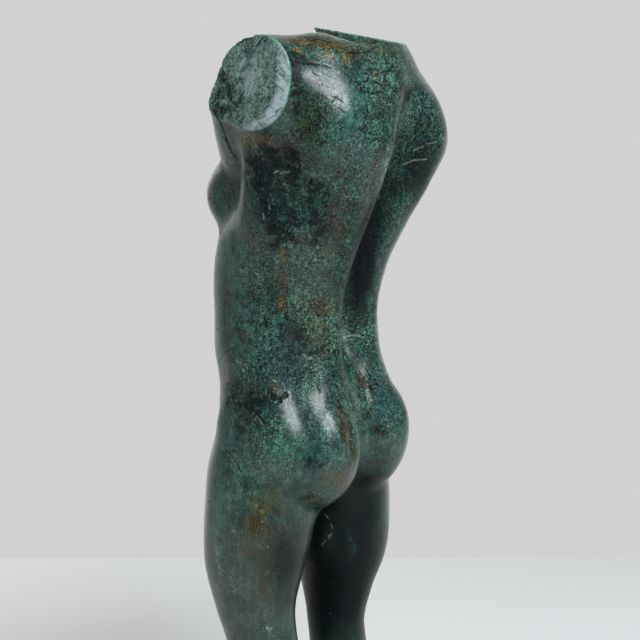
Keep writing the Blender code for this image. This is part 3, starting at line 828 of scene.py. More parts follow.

# %% [markdown]
# Scratches are lines through a few pixels. The dark ones are cut into the wax or the patina, and
# the bright ones show the metal; the shortest bright ones are painted glints.

# %% Scratches, the seam and the hip's pit
# For each kind: width and depth in pixels, then the pixels that the scratch passes
SCRATCHES = {
    "dark": (
        (1.1, 0.5, (330, 96), (336, 98), (343, 102)), (0.9, 0.4, (334, 106), (340, 109), (345, 114)),
        (1.1, 0.5, (324, 114), (331, 115), (335, 118), (331, 124)), (1.0, 0.4, (325, 119), (330, 125)),
        (1.3, 0.6, (313, 72), (319, 77), (322, 85)), (1.0, 0.5, (338, 96), (331, 103)),
        (2.0, 0.9, (282, 45), (288, 55), (293, 61), (306, 63), (318, 64), (330, 67)),
        (1.6, 0.7, (290, 57), (286, 66), (291, 72)),
        (1.8, 0.8, (364, 40), (371, 43), (372, 49), (364, 52), (350, 53)),
        (1.6, 0.6, (366, 70), (374, 69), (381, 72), (389, 71), (395, 62)),
        (1.7, 0.6, (352, 78), (361, 82), (371, 80), (381, 85), (391, 85)),
        (1.4, 0.5, (362, 90), (372, 94), (379, 91), (388, 96)),
        (1.5, 0.5, (388, 71), (384, 79), (391, 85), (394, 94)), (1.4, 0.5, (345, 73), (352, 78), (350, 86)),
        (1.3, 0.5, (371, 80), (374, 88), (372, 94)), (1.3, 0.5, (389, 71), (393, 66), (392, 58)),
        (1.3, 0.5, (341, 148), (346, 152), (349, 150), (345, 158)),
        (1.2, 0.5, (293, 150), (299, 153), (297, 158)), (1.2, 0.5, (240, 318), (236, 326), (239, 334)),
        (1.4, 0.6, (367, 103), (368, 112)), (1.2, 0.5, (226, 452), (236, 462), (241, 472)),
        (1.6, 0.8, (310, 380), (315, 383), (320, 393)), (1.2, 0.6, (253, 408), (259, 417), (266, 428)),
        (1.1, 0.4, (245, 421), (254, 417), (262, 412)), (1.8, 0.8, (226, 384), (234, 386)),
        (1.3, 0.5, (338, 400), (343, 412), (351, 424), (356, 440)),
        (1.2, 0.5, (331, 397), (338, 410), (346, 426)), (1.4, 0.6, (360, 371), (366, 379), (371, 389)),
        (1.2, 0.5, (366, 368), (372, 380)), (1.1, 0.4, (368, 431), (378, 429), (388, 433)),
        (1.4, 0.6, (437, 128), (439, 134)),
    ),
    # bright: scratches that show the metal, and the shortest ones are painted glints
    "bright": (
        (1.3, 0.4, (404, 164), (414, 160), (426, 159)), (1.1, 0.3, (426, 144), (435, 142), (444, 138)),
        (0.9, 0.2, (414, 150), (424, 146)), (1.5, 0.7, (241, 194), (239, 206)),
        (1.1, 0.4, (222, 447), (229, 456), (238, 466)), (1.0, 0.3, (226, 447), (236, 456)),
        (1.0, 0.5, (257, 416), (265, 427)), (1.0, 0.3, (374, 351), (381, 357)),
        (1.2, 0.4, (344, 337), (352, 335), (360, 336)), (1.2, 0.4, (240, 270), (247, 273)),
        (0.9, 0.3, (325, 514), (328, 518)), (0.8, 0.3, (331, 524), (333, 529)),
        (0.9, 0.3, (332, 533), (329, 538)), (0.8, 0.3, (325, 541), (322, 545)),
        (1.0, 0.3, (274, 173), (278, 171)), (1.0, 0.3, (283, 174), (289, 172)),
        (1.2, 0.4, (303, 354), (306, 357)), (1.1, 0.4, (307, 359), (311, 357)),
        (1.3, 0.3, (274, 380), (276, 382)), (1.6, 0.3, (248, 204), (250, 208)),
        (1.4, 0.3, (263, 214), (264, 219)), (1.4, 0.3, (269, 206), (270, 209)),
        (1.4, 0.3, (301, 163), (303, 165)), (1.6, 0.3, (256, 274), (259, 276)),
        (1.4, 0.3, (238, 362), (241, 363)),
    ),
}
# The crack between the arm's stump and the chest, and the rough pit on the left hip
SEAM = (1.0, 1.1, (218, 118), (222, 126), (226, 138), (231, 150), (236, 158))
HIP_PIT = (3.2, 1.8, (269, 393), (274, 398), (280, 400), (286, 395))
print(sum(map(len, SCRATCHES.values())), "scratches")

# %% [markdown]
# A ray from the camera finds the place of each pixel on the skin. From then on the mark belongs to
# the surface, so it stays put from any other side.

# %% Each mark in its place
WIDER = {"dark": 1.25, "bright": 0.95}

surface = BVHTree.FromPolygons(corners.tolist(), faces.tolist())
pixel = PIXEL / UNIT


def seen(across, down):
    """The point of the skin that the camera sees at a pixel, in figure units."""
    aim = (across - FRAME_PIXELS / 2) * picture_right - (down - FRAME_PIXELS / 2) * picture_up
    ray = (aim * PIXEL - toward_camera * CAMERA_AWAY).normalized()
    return np.array(surface.ray_cast((camera.location - FOOT) / UNIT, ray)[0])


def placed(width, depth, *pixels):
    """A line's width and depth in figure units, and the points of the skin that it passes."""
    return width * pixel, depth * pixel, [seen(*one) for one in pixels]


def along(points, route):
    """Distance from each point to a route of straight stretches, in figure units."""
    nearest = np.full(len(points), np.inf)
    for start, end in zip(route[:-1], route[1:]):
        way = end - start
        share = np.clip((points - start) @ way / max(way @ way, 1e-9), 0, 1)
        gap = points - start - share[:, None] * way
        nearest = np.minimum(nearest, np.sqrt((gap**2).sum(1)))
    return nearest


scratches = [
    (kind, *placed(WIDER[kind] * width, *rest)) for kind, rows in SCRATCHES.items() for width, *rest in rows
]
seam_width, seam_depth, seam = placed(*SEAM)
hip_width, hip_depth, hip_pit = placed(*HIP_PIT)
print(len(scratches), "scratches placed, the first at", scratches[0][3][0].round(1))

# %% [markdown]
# ## Scratches and pits on the sides that the camera doesn't see
#
# The other sides are as old as this one. Short scratches are scattered there with a fixed seed,
# in all directions, and small casting pits are scattered over the whole skin.

# %% Scatter more scratches and pits
SCRATCH_SEED, PIT_SEED = 11, 5
MORE_SCRATCHES, PITS = 46, 225

corner_normals = gradient(torso, corners)
corner_normals /= lengths(corner_normals)[:, None]
on_cut = cut_distance(corners.T) > -0.3
to_camera = np.array(toward_camera)
hidden = np.flatnonzero((corner_normals @ to_camera < 0.1) & ~on_cut)
chance = np.random.default_rng(SCRATCH_SEED)
for place in chance.choice(hidden, MORE_SCRATCHES, replace=False):
    facing = corner_normals[place]
    way = np.cross(facing, chance.normal(size=3))
    way /= np.linalg.norm(way)
    bend = np.cross(facing, way)
    length, sag = chance.uniform(1.0, 3.4), chance.uniform(-0.3, 0.3)
    route = []
    for t in (0, 0.35, 0.7, 1):
        point = corners[place] + way * length * (t - 0.5) + bend * sag * (1 - (2 * t - 1) ** 2)
        route.append(np.array(surface.find_nearest(Vector(point))[0]))
    kind = "dark" if chance.random() < 0.75 else "bright"
    scratches.append((kind, chance.uniform(0.13, 0.22), chance.uniform(0.05, 0.09), route))

chance = np.random.default_rng(PIT_SEED)
pit_places = corners[chance.choice(np.flatnonzero(~on_cut), PITS, replace=False)]
pit_radii = 0.13 + 0.20 * chance.random(PITS) ** 2.5
print(len(scratches), "scratches in all,", PITS, "pits of", pit_radii.min() * UNIT * 2000, "to",
      pit_radii.max() * UNIT * 2000, "mm")

# %% [markdown]
# ## A finer net where there is fine work
#
# A scratch is half a millimetre wide, and the net's cells are two. Making every cell small
# would cost millions of faces, so only the cells near a mark are split, twice, and each new
# corner is settled on the surface.

# %% Split the net near the marks
STUMP = np.array(LEFT_ARM_CUT[0])
# How far round the marks the net is split, in each round
SPLIT_MARGINS = (0.45, 0.22)


def worked(points, margin):
    """Which points are near a mark, or on the chased face of the left arm."""
    near = along(points, seam) < 0.5 + margin
    near |= along(points, hip_pit) < 0.9 + margin
    for _, width, _, route in scratches:
        near |= along(points, route) < width + margin
    for place, radius in zip(pit_places, pit_radii):
        near |= np.abs(points - place).max(1) < radius + margin
    stump_face = (lengths(points - STUMP) < 9.5) & (cut_distance(points.T) > -0.45)
    return near | stump_face


net = bmesh.new()
places = [net.verts.new(corner) for corner in corners.tolist()]
for face in faces.tolist():
    net.faces.new([places[number] for number in face])
for margin in SPLIT_MARGINS:
    net.verts.index_update()
    before = len(net.verts)
    near = worked(np.array([corner.co for corner in net.verts]), margin)
    chosen = [edge for edge in net.edges if near[edge.verts[0].index] and near[edge.verts[1].index]]
    bmesh.ops.subdivide_edges(net, edges=chosen, cuts=1, use_grid_fill=True)
    net.verts.ensure_lookup_table()
    fresh = net.verts[before:]
    for corner, place in zip(fresh, settle(np.array([corner.co for corner in fresh]), 0.1)):
        corner.co = place
    print("split to", len(net.verts), "corners")
torso_mesh = bpy.data.meshes.new("torso")
net.to_mesh(torso_mesh)
net.free()
print("triangles", sum(len(face.vertices) - 2 for face in torso_mesh.polygons))

# %% [markdown]
# ## Relief
#
# The wax was worked by hand, so the skin is never quite even: there are broad soft facets and a
# finer unevenness under them. The cut of the left arm was chased with a chisel and a coarse
# file. All this is height along the surface's own normal, so it can be added up and then applied
# once. Beside the height, each corner keeps a few masks that the patina's material reads.

# %% Uneven wax and the chased cut
STROKES, STROKE_SEED, STROKE_DEPTH = 260, 3, 0.05
STROKE_LEANS = np.radians((38, 62, 140))
BROAD_LUMPS, FINE_LUMPS = 0.11, 0.030

points = np.array([corner.co for corner in torso_mesh.vertices])
normals = gradient(torso, points)
cut_normals = gradient(cut_distance, points)
values = figure(points.T)
on_cut = values[1] > values[0]
normals = np.where(on_cut[:, None], cut_normals, normals)
normals /= np.maximum(lengths(normals), 1e-6)[:, None]


def rough(places, octaves):
    """Even noise at each of the places, about -1 to 1."""
    return np.array([noise.fractal(Vector(place), 1.0, 2.0, octaves) for place in places])


def lumps(wide, seed, octaves=3):
    """Even noise over the skin, with lumps that are so many figure units wide."""
    return rough(points / wide + seed * 17.3, octaves)


rim_gap = np.where(on_cut, -values[0], -values[1])
away_from_rim = ease(rim_gap, 0.0, 0.8)
height = BROAD_LUMPS * lumps(9.0, 1, 2) + FINE_LUMPS * lumps(2.2, 2, 3)
height *= 0.25 + 0.75 * away_from_rim

stump_here = on_cut & (lengths(points - STUMP) < 12)
chased = 0.05 * lumps(2.6, 5, 4) + 0.02 * lumps(0.5, 3, 2)
stroke_shade = np.zeros(len(points))
flat = (points * (0, 1, 1))[stump_here]
chance = np.random.default_rng(STROKE_SEED)
for _ in range(STROKES):
    start = STUMP + np.array((0, *chance.uniform(-7, 7, 2)))
    lean = chance.choice(STROKE_LEANS) + np.radians(chance.normal(0, 12))
    length, width = chance.uniform(0.4, 2.0), chance.uniform(0.05, 0.11)
    end = start + length * np.array((0, np.cos(lean), np.sin(lean)))
    profile = bell(along(flat, [start * (0, 1, 1), end * (0, 1, 1)]), width)
    profile *= np.clip(1.2 * chance.random() + 0.1, 0, 1)
    chased[stump_here] -= STROKE_DEPTH * profile
    stroke_shade[stump_here] = np.maximum(stroke_shade[stump_here], profile)
height = np.where(stump_here, chased * (0.35 + 0.65 * away_from_rim), height)
other_cuts = on_cut & ~stump_here
height = np.where(other_cuts, 0.02 * lumps(0.8, 6, 3), height)
print("uneven by", round(np.ptp(height) * UNIT * 1000, 2), "mm in all")

# %% [markdown]
# The placed marks come next. A scratch is a groove with a broken course. The seam is a deeper one,
# and the pit on the hip is torn open, with a raised lip that carries painted glints at its far end.

# %% Grooves, the seam and the pit
SCRATCH_MASK = {"dark": 1.7, "bright": 0.55}
# The levels between which the legs turn grey, downward, and the gritty patina sets in, upward
GREY_LEGS, GRITTY = (27, 38), (30, 46)

masks = {name: np.zeros(len(points)) for name in ("bright", *STAINS)}
masks["dark"] = np.where(stump_here, stroke_shade, 0)
fallen = fall_away(points.T, LEFT_ARM_CUT) * stump_here
# The chased crescent is pale filed metal with a painted highlight, stronger towards its lower end
masks["bevel"] = ease(fallen, 0.03, 0.40) * (0.25 + 0.75 * ease(STUMP[2] + 1 - points[:, 2], -5, 4))
masks["bevel"] *= np.clip(0.75 + 0.5 * lumps(1.2, 12, 3), 0, 1) * (1 - 0.8 * stroke_shade)
masks["grey"] = 0.8 * (1 - ease(points[:, 2] + 3 * lumps(6.0, 9, 2), *GREY_LEGS))
wobble = 0.5 + 0.6 * lumps(0.55, 7, 3)
for kind, width, depth, route in scratches:
    profile = bell(along(points, route), 0.5 * width) * np.clip(1.3 * wobble + 0.1, 0, 1)
    height -= 0.6 * depth * profile
    masks[kind] = np.maximum(masks[kind], SCRATCH_MASK[kind] * profile)
profile = bell(along(points, seam), seam_width)
height -= seam_depth * profile
masks["dark"] = np.maximum(masks["dark"], 1.2 * profile)
gap = along(points, hip_pit) / hip_width + 0.75 * lumps(0.55, 8, 4)
height -= hip_depth * (1 - ease(gap, 0.1, 0.9))
height += 0.25 * pixel * bell(gap - 1.25, 0.25)
masks["dark"] = np.maximum(masks["dark"], 1 - ease(gap, 0.3, 1.0))
# Painted glints on the lip at the pit's far end
glints = bell(gap - 1.1, 0.22) * (1 - ease(lengths(points - hip_pit[-1]), 0.3, 0.9))
masks["bright"] = np.maximum(masks["bright"], 0.8 * glints * ease(wobble, 0.5, 0.7))
print("relief from", round(height.min() * UNIT * 1000, 2), "to", round(height.max() * UNIT * 1000, 2), "mm")

# %% [markdown]
# Last come the stains, and where the form is sheltered, worn or gritty. A place is sheltered where
# points straight out from it are still near the skin.

# %% Stains, shelter and wear
# A stain thins out a little past the contour that the camera sees
PAST_THE_CONTOUR = (-0.5, -0.1)
# How far out to look for shelter, and how much each look counts
LOOKS = ((0.8, 0.3), (2.5, 0.4), (6.0, 0.3))

right_axis, up_axis = np.array(picture_right), np.array(picture_up)
for kind, rows in STAINS.items():
    for across, down, half_width, half_height, lean, strength in rows:
        away = points - seen(across, down)
        right, up = away @ right_axis / pixel, away @ up_axis / pixel
        turn = np.radians(lean)
        wide, high = right * np.cos(turn) - up * np.sin(turn), right * np.sin(turn) + up * np.cos(turn)
        patch = strength * bell(wide, half_width) * bell(high, half_height)
        reach = 1.6 * max(half_width, half_height) * pixel + 1
        patch *= 1 - ease(lengths(away), 0.7 * reach, reach)
        patch *= ease(normals @ to_camera, *PAST_THE_CONTOUR)
        masks[kind] = 1 - (1 - np.clip(masks[kind], 0, 1)) * (1 - np.clip(patch, 0, 1))

shelter = np.zeros(len(points))
for reach, weight in LOOKS:
    out = torso((points + normals * reach).T)
    shelter += weight * np.clip(1 - out / reach, -1, 1)
shelter = np.where(on_cut, 0, shelter)
masks["shelter"] = np.clip(shelter, 0, 1)
masks["edge"] = np.where(on_cut, 0.8, 1.0) * (1 - ease(rim_gap, 0.05, 0.5))
masks["cut"] = on_cut * 1.0
masks["grit"] = 0.25 + 0.75 * ease(points[:, 2] + 4 * lumps(7.0, 10, 3), *GRITTY)
print("masks:", ", ".join(sorted(masks)))

# %% [markdown]
# The corners go back into the mesh, in metres, standing on the figure's own origin, and each mask
# becomes an attribute of the mesh. Edges that turn by more than fifty degrees stay sharp.

# %% The torso's mesh
def lay_out(mesh, corners, masks, sharp_angle):
    """Gives a mesh its corners' places in metres, its masks, and smooth shading but for sharp edges."""
    mesh.vertices.foreach_set("co", corners.astype(np.float32).ravel())
    for name, values in masks.items():
        layer = mesh.attributes.new(name, "FLOAT", "POINT")
        layer.data.foreach_set("value", np.clip(values, 0, 1).astype(np.float32))
    mesh.update()
    mesh.shade_smooth()
    mesh.set_sharp_from_angle(angle=np.radians(sharp_angle))


points += normals * height[:, None]
lay_out(torso_mesh, points * UNIT + np.array(FOOT), masks, 50)
bronze_torso = stand("bronze_torso", torso_mesh)
print("bronze torso", len(torso_mesh.vertices), "corners")

# %% [markdown]
# ## Pattern groups
#
# The patina and the stone have much in common: cloudy mottling, fine specks, hairline cracks,
# worn edges and a grain too fine to model. Each is a group of nodes with named inputs, built once
# and placed in each material with its own values. A group only puts out masks and heights.

# %% Mottling and specks
def pattern_group(name, output, **inputs):
    """An empty group of shader nodes: its tree, its named inputs and the socket of its output."""
    tree = bpy.data.node_groups.new(name, "ShaderNodeTree")
    tree.interface.new_socket("Place", in_out="INPUT", socket_type="NodeSocketVector")
    for label, value in inputs.items():
        socket = tree.interface.new_socket(label, in_out="INPUT", socket_type="NodeSocketFloat")
        socket.default_value = value
    tree.interface.new_socket(output, in_out="OUTPUT", socket_type="NodeSocketFloat")
    return tree, tree.nodes.new("NodeGroupInput").outputs, tree.nodes.new("NodeGroupOutput").inputs[0]


def noise_value(tree, place, scale, detail=3.0, roughness=0.6, distortion=0.0):
    """Noise between 0 and 1, mostly near one half."""
    inputs = {"Vector": place, "Scale": scale, "Detail": detail, "Roughness": roughness}
    return put(tree, "ShaderNodeTexNoise", {**inputs, "Distortion": distortion}).outputs[0]


def place_group(tree, group, place, **values):
    """Places a group in a material and gives back its mask or height."""
    node = put(tree, "ShaderNodeGroup", node_tree=group)
    tree.links.new(place, node.inputs["Place"])
    for label, value in values.items():
        socket = node.inputs[label]
        if isinstance(value, bpy.types.NodeSocket):
            tree.links.new(value, socket)
        else:
            socket.default_value = value
    return node.outputs[0]


mottling, given, wanted = pattern_group("mottling", "Mask", Scale=100, Roughness=0.6, Low=0.4, High=0.6)
cloud = noise_value(mottling, given["Place"], given["Scale"], 5.0, given["Roughness"], 0.3)
mottling.links.new(step(mottling, cloud, given["Low"], given["High"]), wanted)

specks, given, wanted = pattern_group("specks", "Mask", Scale=1500, Amount=0.3, Softness=0.04)
cloud = noise_value(specks, given["Place"], given["Scale"], 2.0, 0.55)
edge = sums(specks, "SUBTRACT", 0.72, times(specks, given["Amount"], 0.3))
low, high = (sums(specks, way, edge, given["Softness"]) for way in ("SUBTRACT", "ADD"))
specks.links.new(step(specks, cloud, low, high), wanted)

print("groups:", sorted(group.name for group in bpy.data.node_groups))

# %% [markdown]
# Hairline cracks are the borders between bent cells, kept in patches only. An edge is worn where a
# cloud lets the rubbing through, and the grain is a sum of two noises.

# %% Hairlines, worn edges and grain
hairlines, given, wanted = pattern_group("hairlines", "Mask", Scale=120, Width=0.02, Amount=0.4)
bent = put(hairlines, "ShaderNodeTexNoise", {"Vector": given["Place"], "Scale": given["Scale"], "Detail": 3})
pushed = put(hairlines, "ShaderNodeVectorMath", {0: bent.outputs["Color"], "Scale": 0.012}, operation="SCALE")
bent_place = put(hairlines, "ShaderNodeVectorMath", {0: given["Place"], 1: pushed.outputs[0]})
cells = put(hairlines, "ShaderNodeTexVoronoi", {"Vector": bent_place.outputs[0], "Scale": given["Scale"]},
            feature="DISTANCE_TO_EDGE")
line = step(hairlines, cells.outputs["Distance"], 0.0, given["Width"], 1.0, 0.0)
patch = noise_value(hairlines, given["Place"], times(hairlines, given["Scale"], 0.55), 2.0)
edge = sums(hairlines, "SUBTRACT", 0.75, times(hairlines, given["Amount"], 0.4))
patch = step(hairlines, patch, edge, sums(hairlines, "ADD", edge, 0.05))
hairlines.links.new(times(hairlines, line, patch), wanted)

worn_edges, given, wanted = pattern_group("worn edges", "Mask", Edge=0, Scale=600, Wear=0.5)
cloud = noise_value(worn_edges, given["Place"], given["Scale"], 3.0)
rubbed = times(worn_edges, given["Edge"], sums(worn_edges, "ADD", cloud, given["Wear"]))
worn_edges.links.new(step(worn_edges, rubbed, 0.35, 0.75), wanted)

fine_grain, given, wanted = pattern_group("fine grain", "Height", Scale=2500, Coarse=0.5)
small = noise_value(fine_grain, given["Place"], given["Scale"], 3.0, 0.7)
large = noise_value(fine_grain, given["Place"], times(fine_grain, given["Scale"], 0.22), 4.0, 0.6)
large = times(fine_grain, large, given["Coarse"])
fine_grain.links.new(sums(fine_grain, "ADD", small, large), wanted)
print("groups:", sorted(group.name for group in bpy.data.node_groups))

# %% [markdown]
# ## Green patina
#
# The patina was laid on in coats with a torch and a brush, so it's a stack of thin layers: a
# blue-green ground, lighter verdigris in clouds, dark specks where the salts burnt black,
# streaks that ran down, brown where the bronze shows through, and a coat of wax on top.
# The material builds it in the same order, and reads the torso's masks for what has its own place.
# Some of those masks are painted shade and painted highlights.

# %% Colours of the patina
GROUND_DARK, GROUND = (0.004, 0.028, 0.022), (0.016, 0.085, 0.062)
VERDIGRIS, SEA_GREEN = (0.150, 0.340, 0.255), (0.014, 0.150, 0.105)
BRIGHT_GREEN = (0.052, 0.215, 0.170)
TEAL, OLIVE = (0.004, 0.045, 0.060), (0.105, 0.125, 0.042)
BURNT, BROWN, GREY = (0.001, 0.003, 0.004), (0.090, 0.068, 0.026), (0.038, 0.042, 0.030)
# The pale, rubbed, chased and filed tones also serve as painted highlights, painted glints and painted light
OCHRE, PALE, RUBBED_AND_GLINT = (0.260, 0.190, 0.040), (0.36, 0.45, 0.43), (0.42, 0.44, 0.36)
CHASED_AND_LIT, FILED_AND_HIGHLIGHT = (0.300, 0.450, 0.400), (0.400, 0.480, 0.500)
print("ground", GROUND, "under", VERDIGRIS)

# %% [markdown]
# Before any colour is laid, the patterns say where each coat lies: clouds of many sizes, streaks
# drawn downward, specks and cracks, and the torso's own masks for hollows, cuts, grit and stains.

# %% Where each coat lies
patina, tree, shader = new_material("green_patina")
place = put(tree, "ShaderNodeTexCoord").outputs["Object"]
drawn_down = put(tree, "ShaderNodeMapping", {"Vector": place, "Scale": (1, 1, 0.22)}).outputs[0]
mask = {name: put(tree, "ShaderNodeAttribute", attribute_name=name).outputs["Fac"] for name in masks}


def clouded(scale, roughness, low, high, way=place):
    """Clouds of this scale from the mottling group."""
    return place_group(tree, mottling, way, Scale=scale, Roughness=roughness, Low=low, High=high)


def stain(name, scale, strength, low=0.22, high=0.60):
    """Where the stains of a kind lie, torn by clouds of their own."""
    torn = step(tree, noise_value(tree, place, scale, 8.0, 0.75), 0.36, 0.64, 0.15, 1.5)
    return step(tree, times(tree, mask[name], torn), low, high, 0.0, strength)


clouds = clouded(45, 0.65, 0.40, 0.60)
small_clouds = clouded(210, 0.80, 0.42, 0.60)
sea_clouds = clouded(75, 0.75, 0.48, 0.60)
olive_clouds = clouded(28, 0.70, 0.50, 0.66)
teal_clouds = clouded(33, 0.70, 0.50, 0.66)
streaks = clouded(300, 0.70, 0.46, 0.62, drawn_down)
burnt_clouds = clouded(110, 0.75, 0.42, 0.60)
grit = clouded(560, 0.85, 0.45, 0.55)
fine_grit = clouded(1000, 0.65, 0.48, 0.54)
light_grit = clouded(800, 0.75, 0.49, 0.55)
speck_amount = partly(tree, streaks, 0.2, 0.5)
burnt_specks = place_group(tree, specks, place, Scale=1100, Amount=speck_amount, Softness=0.03)
# Pale crumbs of the patina, which also serve as painted glints
crumbs_and_glints = place_group(tree, specks, place, Scale=1100, Amount=0.12, Softness=0.012)
cracks = place_group(tree, hairlines, place, Scale=105, Width=0.03, Amount=0.40)
rubbed = place_group(tree, worn_edges, place, Edge=mask["edge"], Scale=700, Wear=0.25)

cloudy = partly(tree, clouds, 0.20, 0.65)
uncut = step(tree, mask["cut"], 0.0, 1.0, 1.0, 0.75)
# Less where shade is painted
unshaded = step(tree, mask["soot"], 0.2, 0.6, 0.75, 0.05)
burnt_share = times(tree, grit, mask["grit"], uncut, partly(tree, burnt_clouds, 0.45, 1.0))
fine_share = times(tree, fine_grit, uncut, partly(tree, mask["grit"], 0.15, 0.90))
in_hollow = step(tree, mask["shelter"], 0.10, 0.50, 0.0, 0.85)
# Painted shade, a dark coat from the stains of that kind
painted_shade_share = step(tree, mask["soot"], 0.05, 0.85, 0.0, 0.95)
brown_share, dark_share = stain("brown", 130, 0.85), stain("dark", 150, 0.85, 0.10, 0.70)
print("patterns of the patina:", len(tree.nodes), "nodes")

# %% [markdown]
# The coats are laid one on another, each where its mask is. A number beside a mask says how thick
# the coat is. Stains torn by clouds have their own scale, thickness and softness.

# %% The coats, from the ground up
COATS = (
    (clouds, GROUND),
    (times(tree, sea_clouds, 0.8), SEA_GREEN),
    (times(tree, teal_clouds, 0.5), TEAL),
    (times(tree, small_clouds, cloudy), VERDIGRIS),
    (times(tree, olive_clouds, 0.35), OLIVE),
    (stain("olive", 90, 0.75, 0.10, 0.80), OLIVE),
    (stain("teal", 90, 0.70, 0.10, 0.80), TEAL),
    (times(tree, mask["grey"], 0.75), GREY),
    # chased faces of the cuts, lighter than the patina, and partly painted light on the left arm's cut
    (times(tree, mask["cut"], 0.65), CHASED_AND_LIT),
    (times(tree, light_grit, mask["grit"], cloudy), VERDIGRIS),
    (times(tree, streaks, 0.45), GROUND_DARK),
    (brown_share, BROWN),
    # ochre, and partly a painted highlight on the shoulder's top rim
    (stain("ochre", 230, 0.80), OCHRE),
    (burnt_share, BURNT),
    (fine_share, BURNT),
    (in_hollow, BURNT),
    # dark patina, and painted shade
    (dark_share, BURNT),
    # painted shade
    (painted_shade_share, BURNT),
    # lighter green, and painted light along the left contour
    (stain("sea", 160, 0.42, 0.10, 0.90), BRIGHT_GREEN),
    # pale marks, and painted highlights
    (stain("pale", 200, 0.50), PALE),
    (times(tree, burnt_specks, 0.8), BURNT),
    (times(tree, cracks, mask["grit"], 0.8), BURNT),
    # pale crumbs, and painted glints
    (times(tree, crumbs_and_glints, burnt_clouds, unshaded), RUBBED_AND_GLINT),
    # filed metal, with a painted highlight
    (times(tree, mask["bevel"], 0.9), FILED_AND_HIGHLIGHT),
    # bright scratches that show the metal, and painted glints
    (mask["bright"], RUBBED_AND_GLINT),
    (times(tree, rubbed, 0.45), VERDIGRIS),
)
colour = GROUND_DARK
for share, tone in COATS:
    colour = mix(tree, share, colour, tone)
tree.links.new(colour, shader.inputs["Base Color"])
print(len(COATS), "coats")

# %% [markdown]
# The coat of wax shines, except where the patina is burnt or cracked and where shade is painted.
# Metal shows through the brown and the bright marks, and grit and cracks are a little sunk.

# %% Wax, metal and grain
gloss = step(tree, small_clouds, 0.0, 1.0, 0.30, 0.40)
gloss = sums(tree, "ADD", gloss, times(tree, mask["cut"], 0.08))
tree.links.new(gloss, shader.inputs["Roughness"])
metal = sums(tree, "ADD", times(tree, brown_share, 0.5), times(tree, mask["bright"], 0.6))
tree.links.new(metal, shader.inputs["Metallic"])
bare = sums(tree, "MAXIMUM", times(tree, burnt_share, 0.5), times(tree, fine_share, 0.3))
for share in (in_hollow, dark_share, mask["dull"], painted_shade_share, times(tree, cracks, 0.7)):
    bare = sums(tree, "MAXIMUM", bare, share)
wax = step(tree, bare, 0.0, 1.0, 0.90, 0.06)
tree.links.new(wax, shader.inputs["Coat Weight"])
shader.inputs["Specular IOR Level"].default_value = 0.12
shader.inputs["Coat Roughness"].default_value = 0.28

grain = place_group(tree, fine_grain, place, Scale=1900, Coarse=1.2)
height = sums(tree, "SUBTRACT", grain, times(tree, burnt_share, 0.8))
height = sums(tree, "SUBTRACT", height, cracks)
bump = put(tree, "ShaderNodeBump", {"Height": height, "Strength": 0.5, "Distance": 0.0003})
tree.links.new(bump.outputs[0], shader.inputs["Normal"])
print("green patina:", len(tree.nodes), "nodes")

# %% [markdown]
# ## Casting pits
#
# Gas in the molten bronze leaves small round pits in the skin. They are the same thing many times
# over, at places that are already chosen, so Geometry Nodes press them all: each corner finds
# the nearest pit, and sinks by the pit's profile. The tree's inputs are the places, how deep a
# pit is for its width, and the finish.

# %% A tree that presses pits
places_mesh = bpy.data.meshes.new("pit places")
places_mesh.from_pydata((pit_places * UNIT + np.array(FOOT)).tolist(), [], [])
layer = places_mesh.attributes.new("radius", "FLOAT", "POINT")
layer.data.foreach_set("value", (pit_radii * UNIT).astype(np.float32))
pit_markers = stand("pit places", places_mesh)

press_pits = bpy.data.node_groups.new("press pits", "GeometryNodeTree")
sockets = {}
kinds = {"Skin": "Geometry", "Pit Places": "Object", "Depth": "Float", "Finish": "Material"}
for label, kind in kinds.items():
    sockets[label] = press_pits.interface.new_socket(label, in_out="INPUT", socket_type="NodeSocket" + kind)
press_pits.interface.new_socket("Pitted Skin", in_out="OUTPUT", socket_type="NodeSocketGeometry")
given = press_pits.nodes.new("NodeGroupInput").outputs
markers = put(press_pits, "GeometryNodeObjectInfo", {"Object": given["Pit Places"]}).outputs["Geometry"]
position = put(press_pits, "GeometryNodeInputPosition").outputs[0]
to_sample = {"Geometry": markers, "Sample Position": position}
nearest = put(press_pits, "GeometryNodeSampleNearest", to_sample).outputs[0]


def at_nearest(value, kind):
    """What a value is at the nearest pit."""
    inputs = {"Geometry": markers, "Value": value, "Index": nearest}
    return put(press_pits, "GeometryNodeSampleIndex", inputs, data_type=kind).outputs[0]


centre = at_nearest(position, "FLOAT_VECTOR")
named = put(press_pits, "GeometryNodeInputNamedAttribute", {"Name": "radius"}, data_type="FLOAT").outputs[0]
radius = at_nearest(named, "FLOAT")
gap = put(press_pits, "ShaderNodeVectorMath", {0: position, 1: centre}, operation="DISTANCE").outputs["Value"]
relative = sums(press_pits, "DIVIDE", gap, radius)
inside = step(press_pits, relative, 0.25, 1.0, 1.0, 0.0)
normal = put(press_pits, "GeometryNodeInputNormal").outputs[0]
inward = times(press_pits, inside, radius, given["Depth"], -1.0)
offset = put(press_pits, "ShaderNodeVectorMath", {0: normal, "Scale": inward}, operation="SCALE").outputs[0]
pressed = put(press_pits, "GeometryNodeSetPosition", {"Geometry": given["Skin"], "Offset": offset}).outputs[0]
realised = put(press_pits, "GeometryNodeRealizeInstances", {"Geometry": pressed}).outputs[0]
to_finish = {"Geometry": realised, "Material": given["Finish"]}
finished = put(press_pits, "GeometryNodeSetMaterial", to_finish).outputs[0]
press_pits.links.new(finished, press_pits.nodes.new("NodeGroupOutput").inputs[0])
print("tree of", len(press_pits.nodes), "nodes")

# %% [markdown]
# The tree is put on the torso as a modifier, and what it makes is kept as a plain mesh. The
# markers have done their work then, so they go.

# %% Press the pits
PIT_DEPTH = 0.7

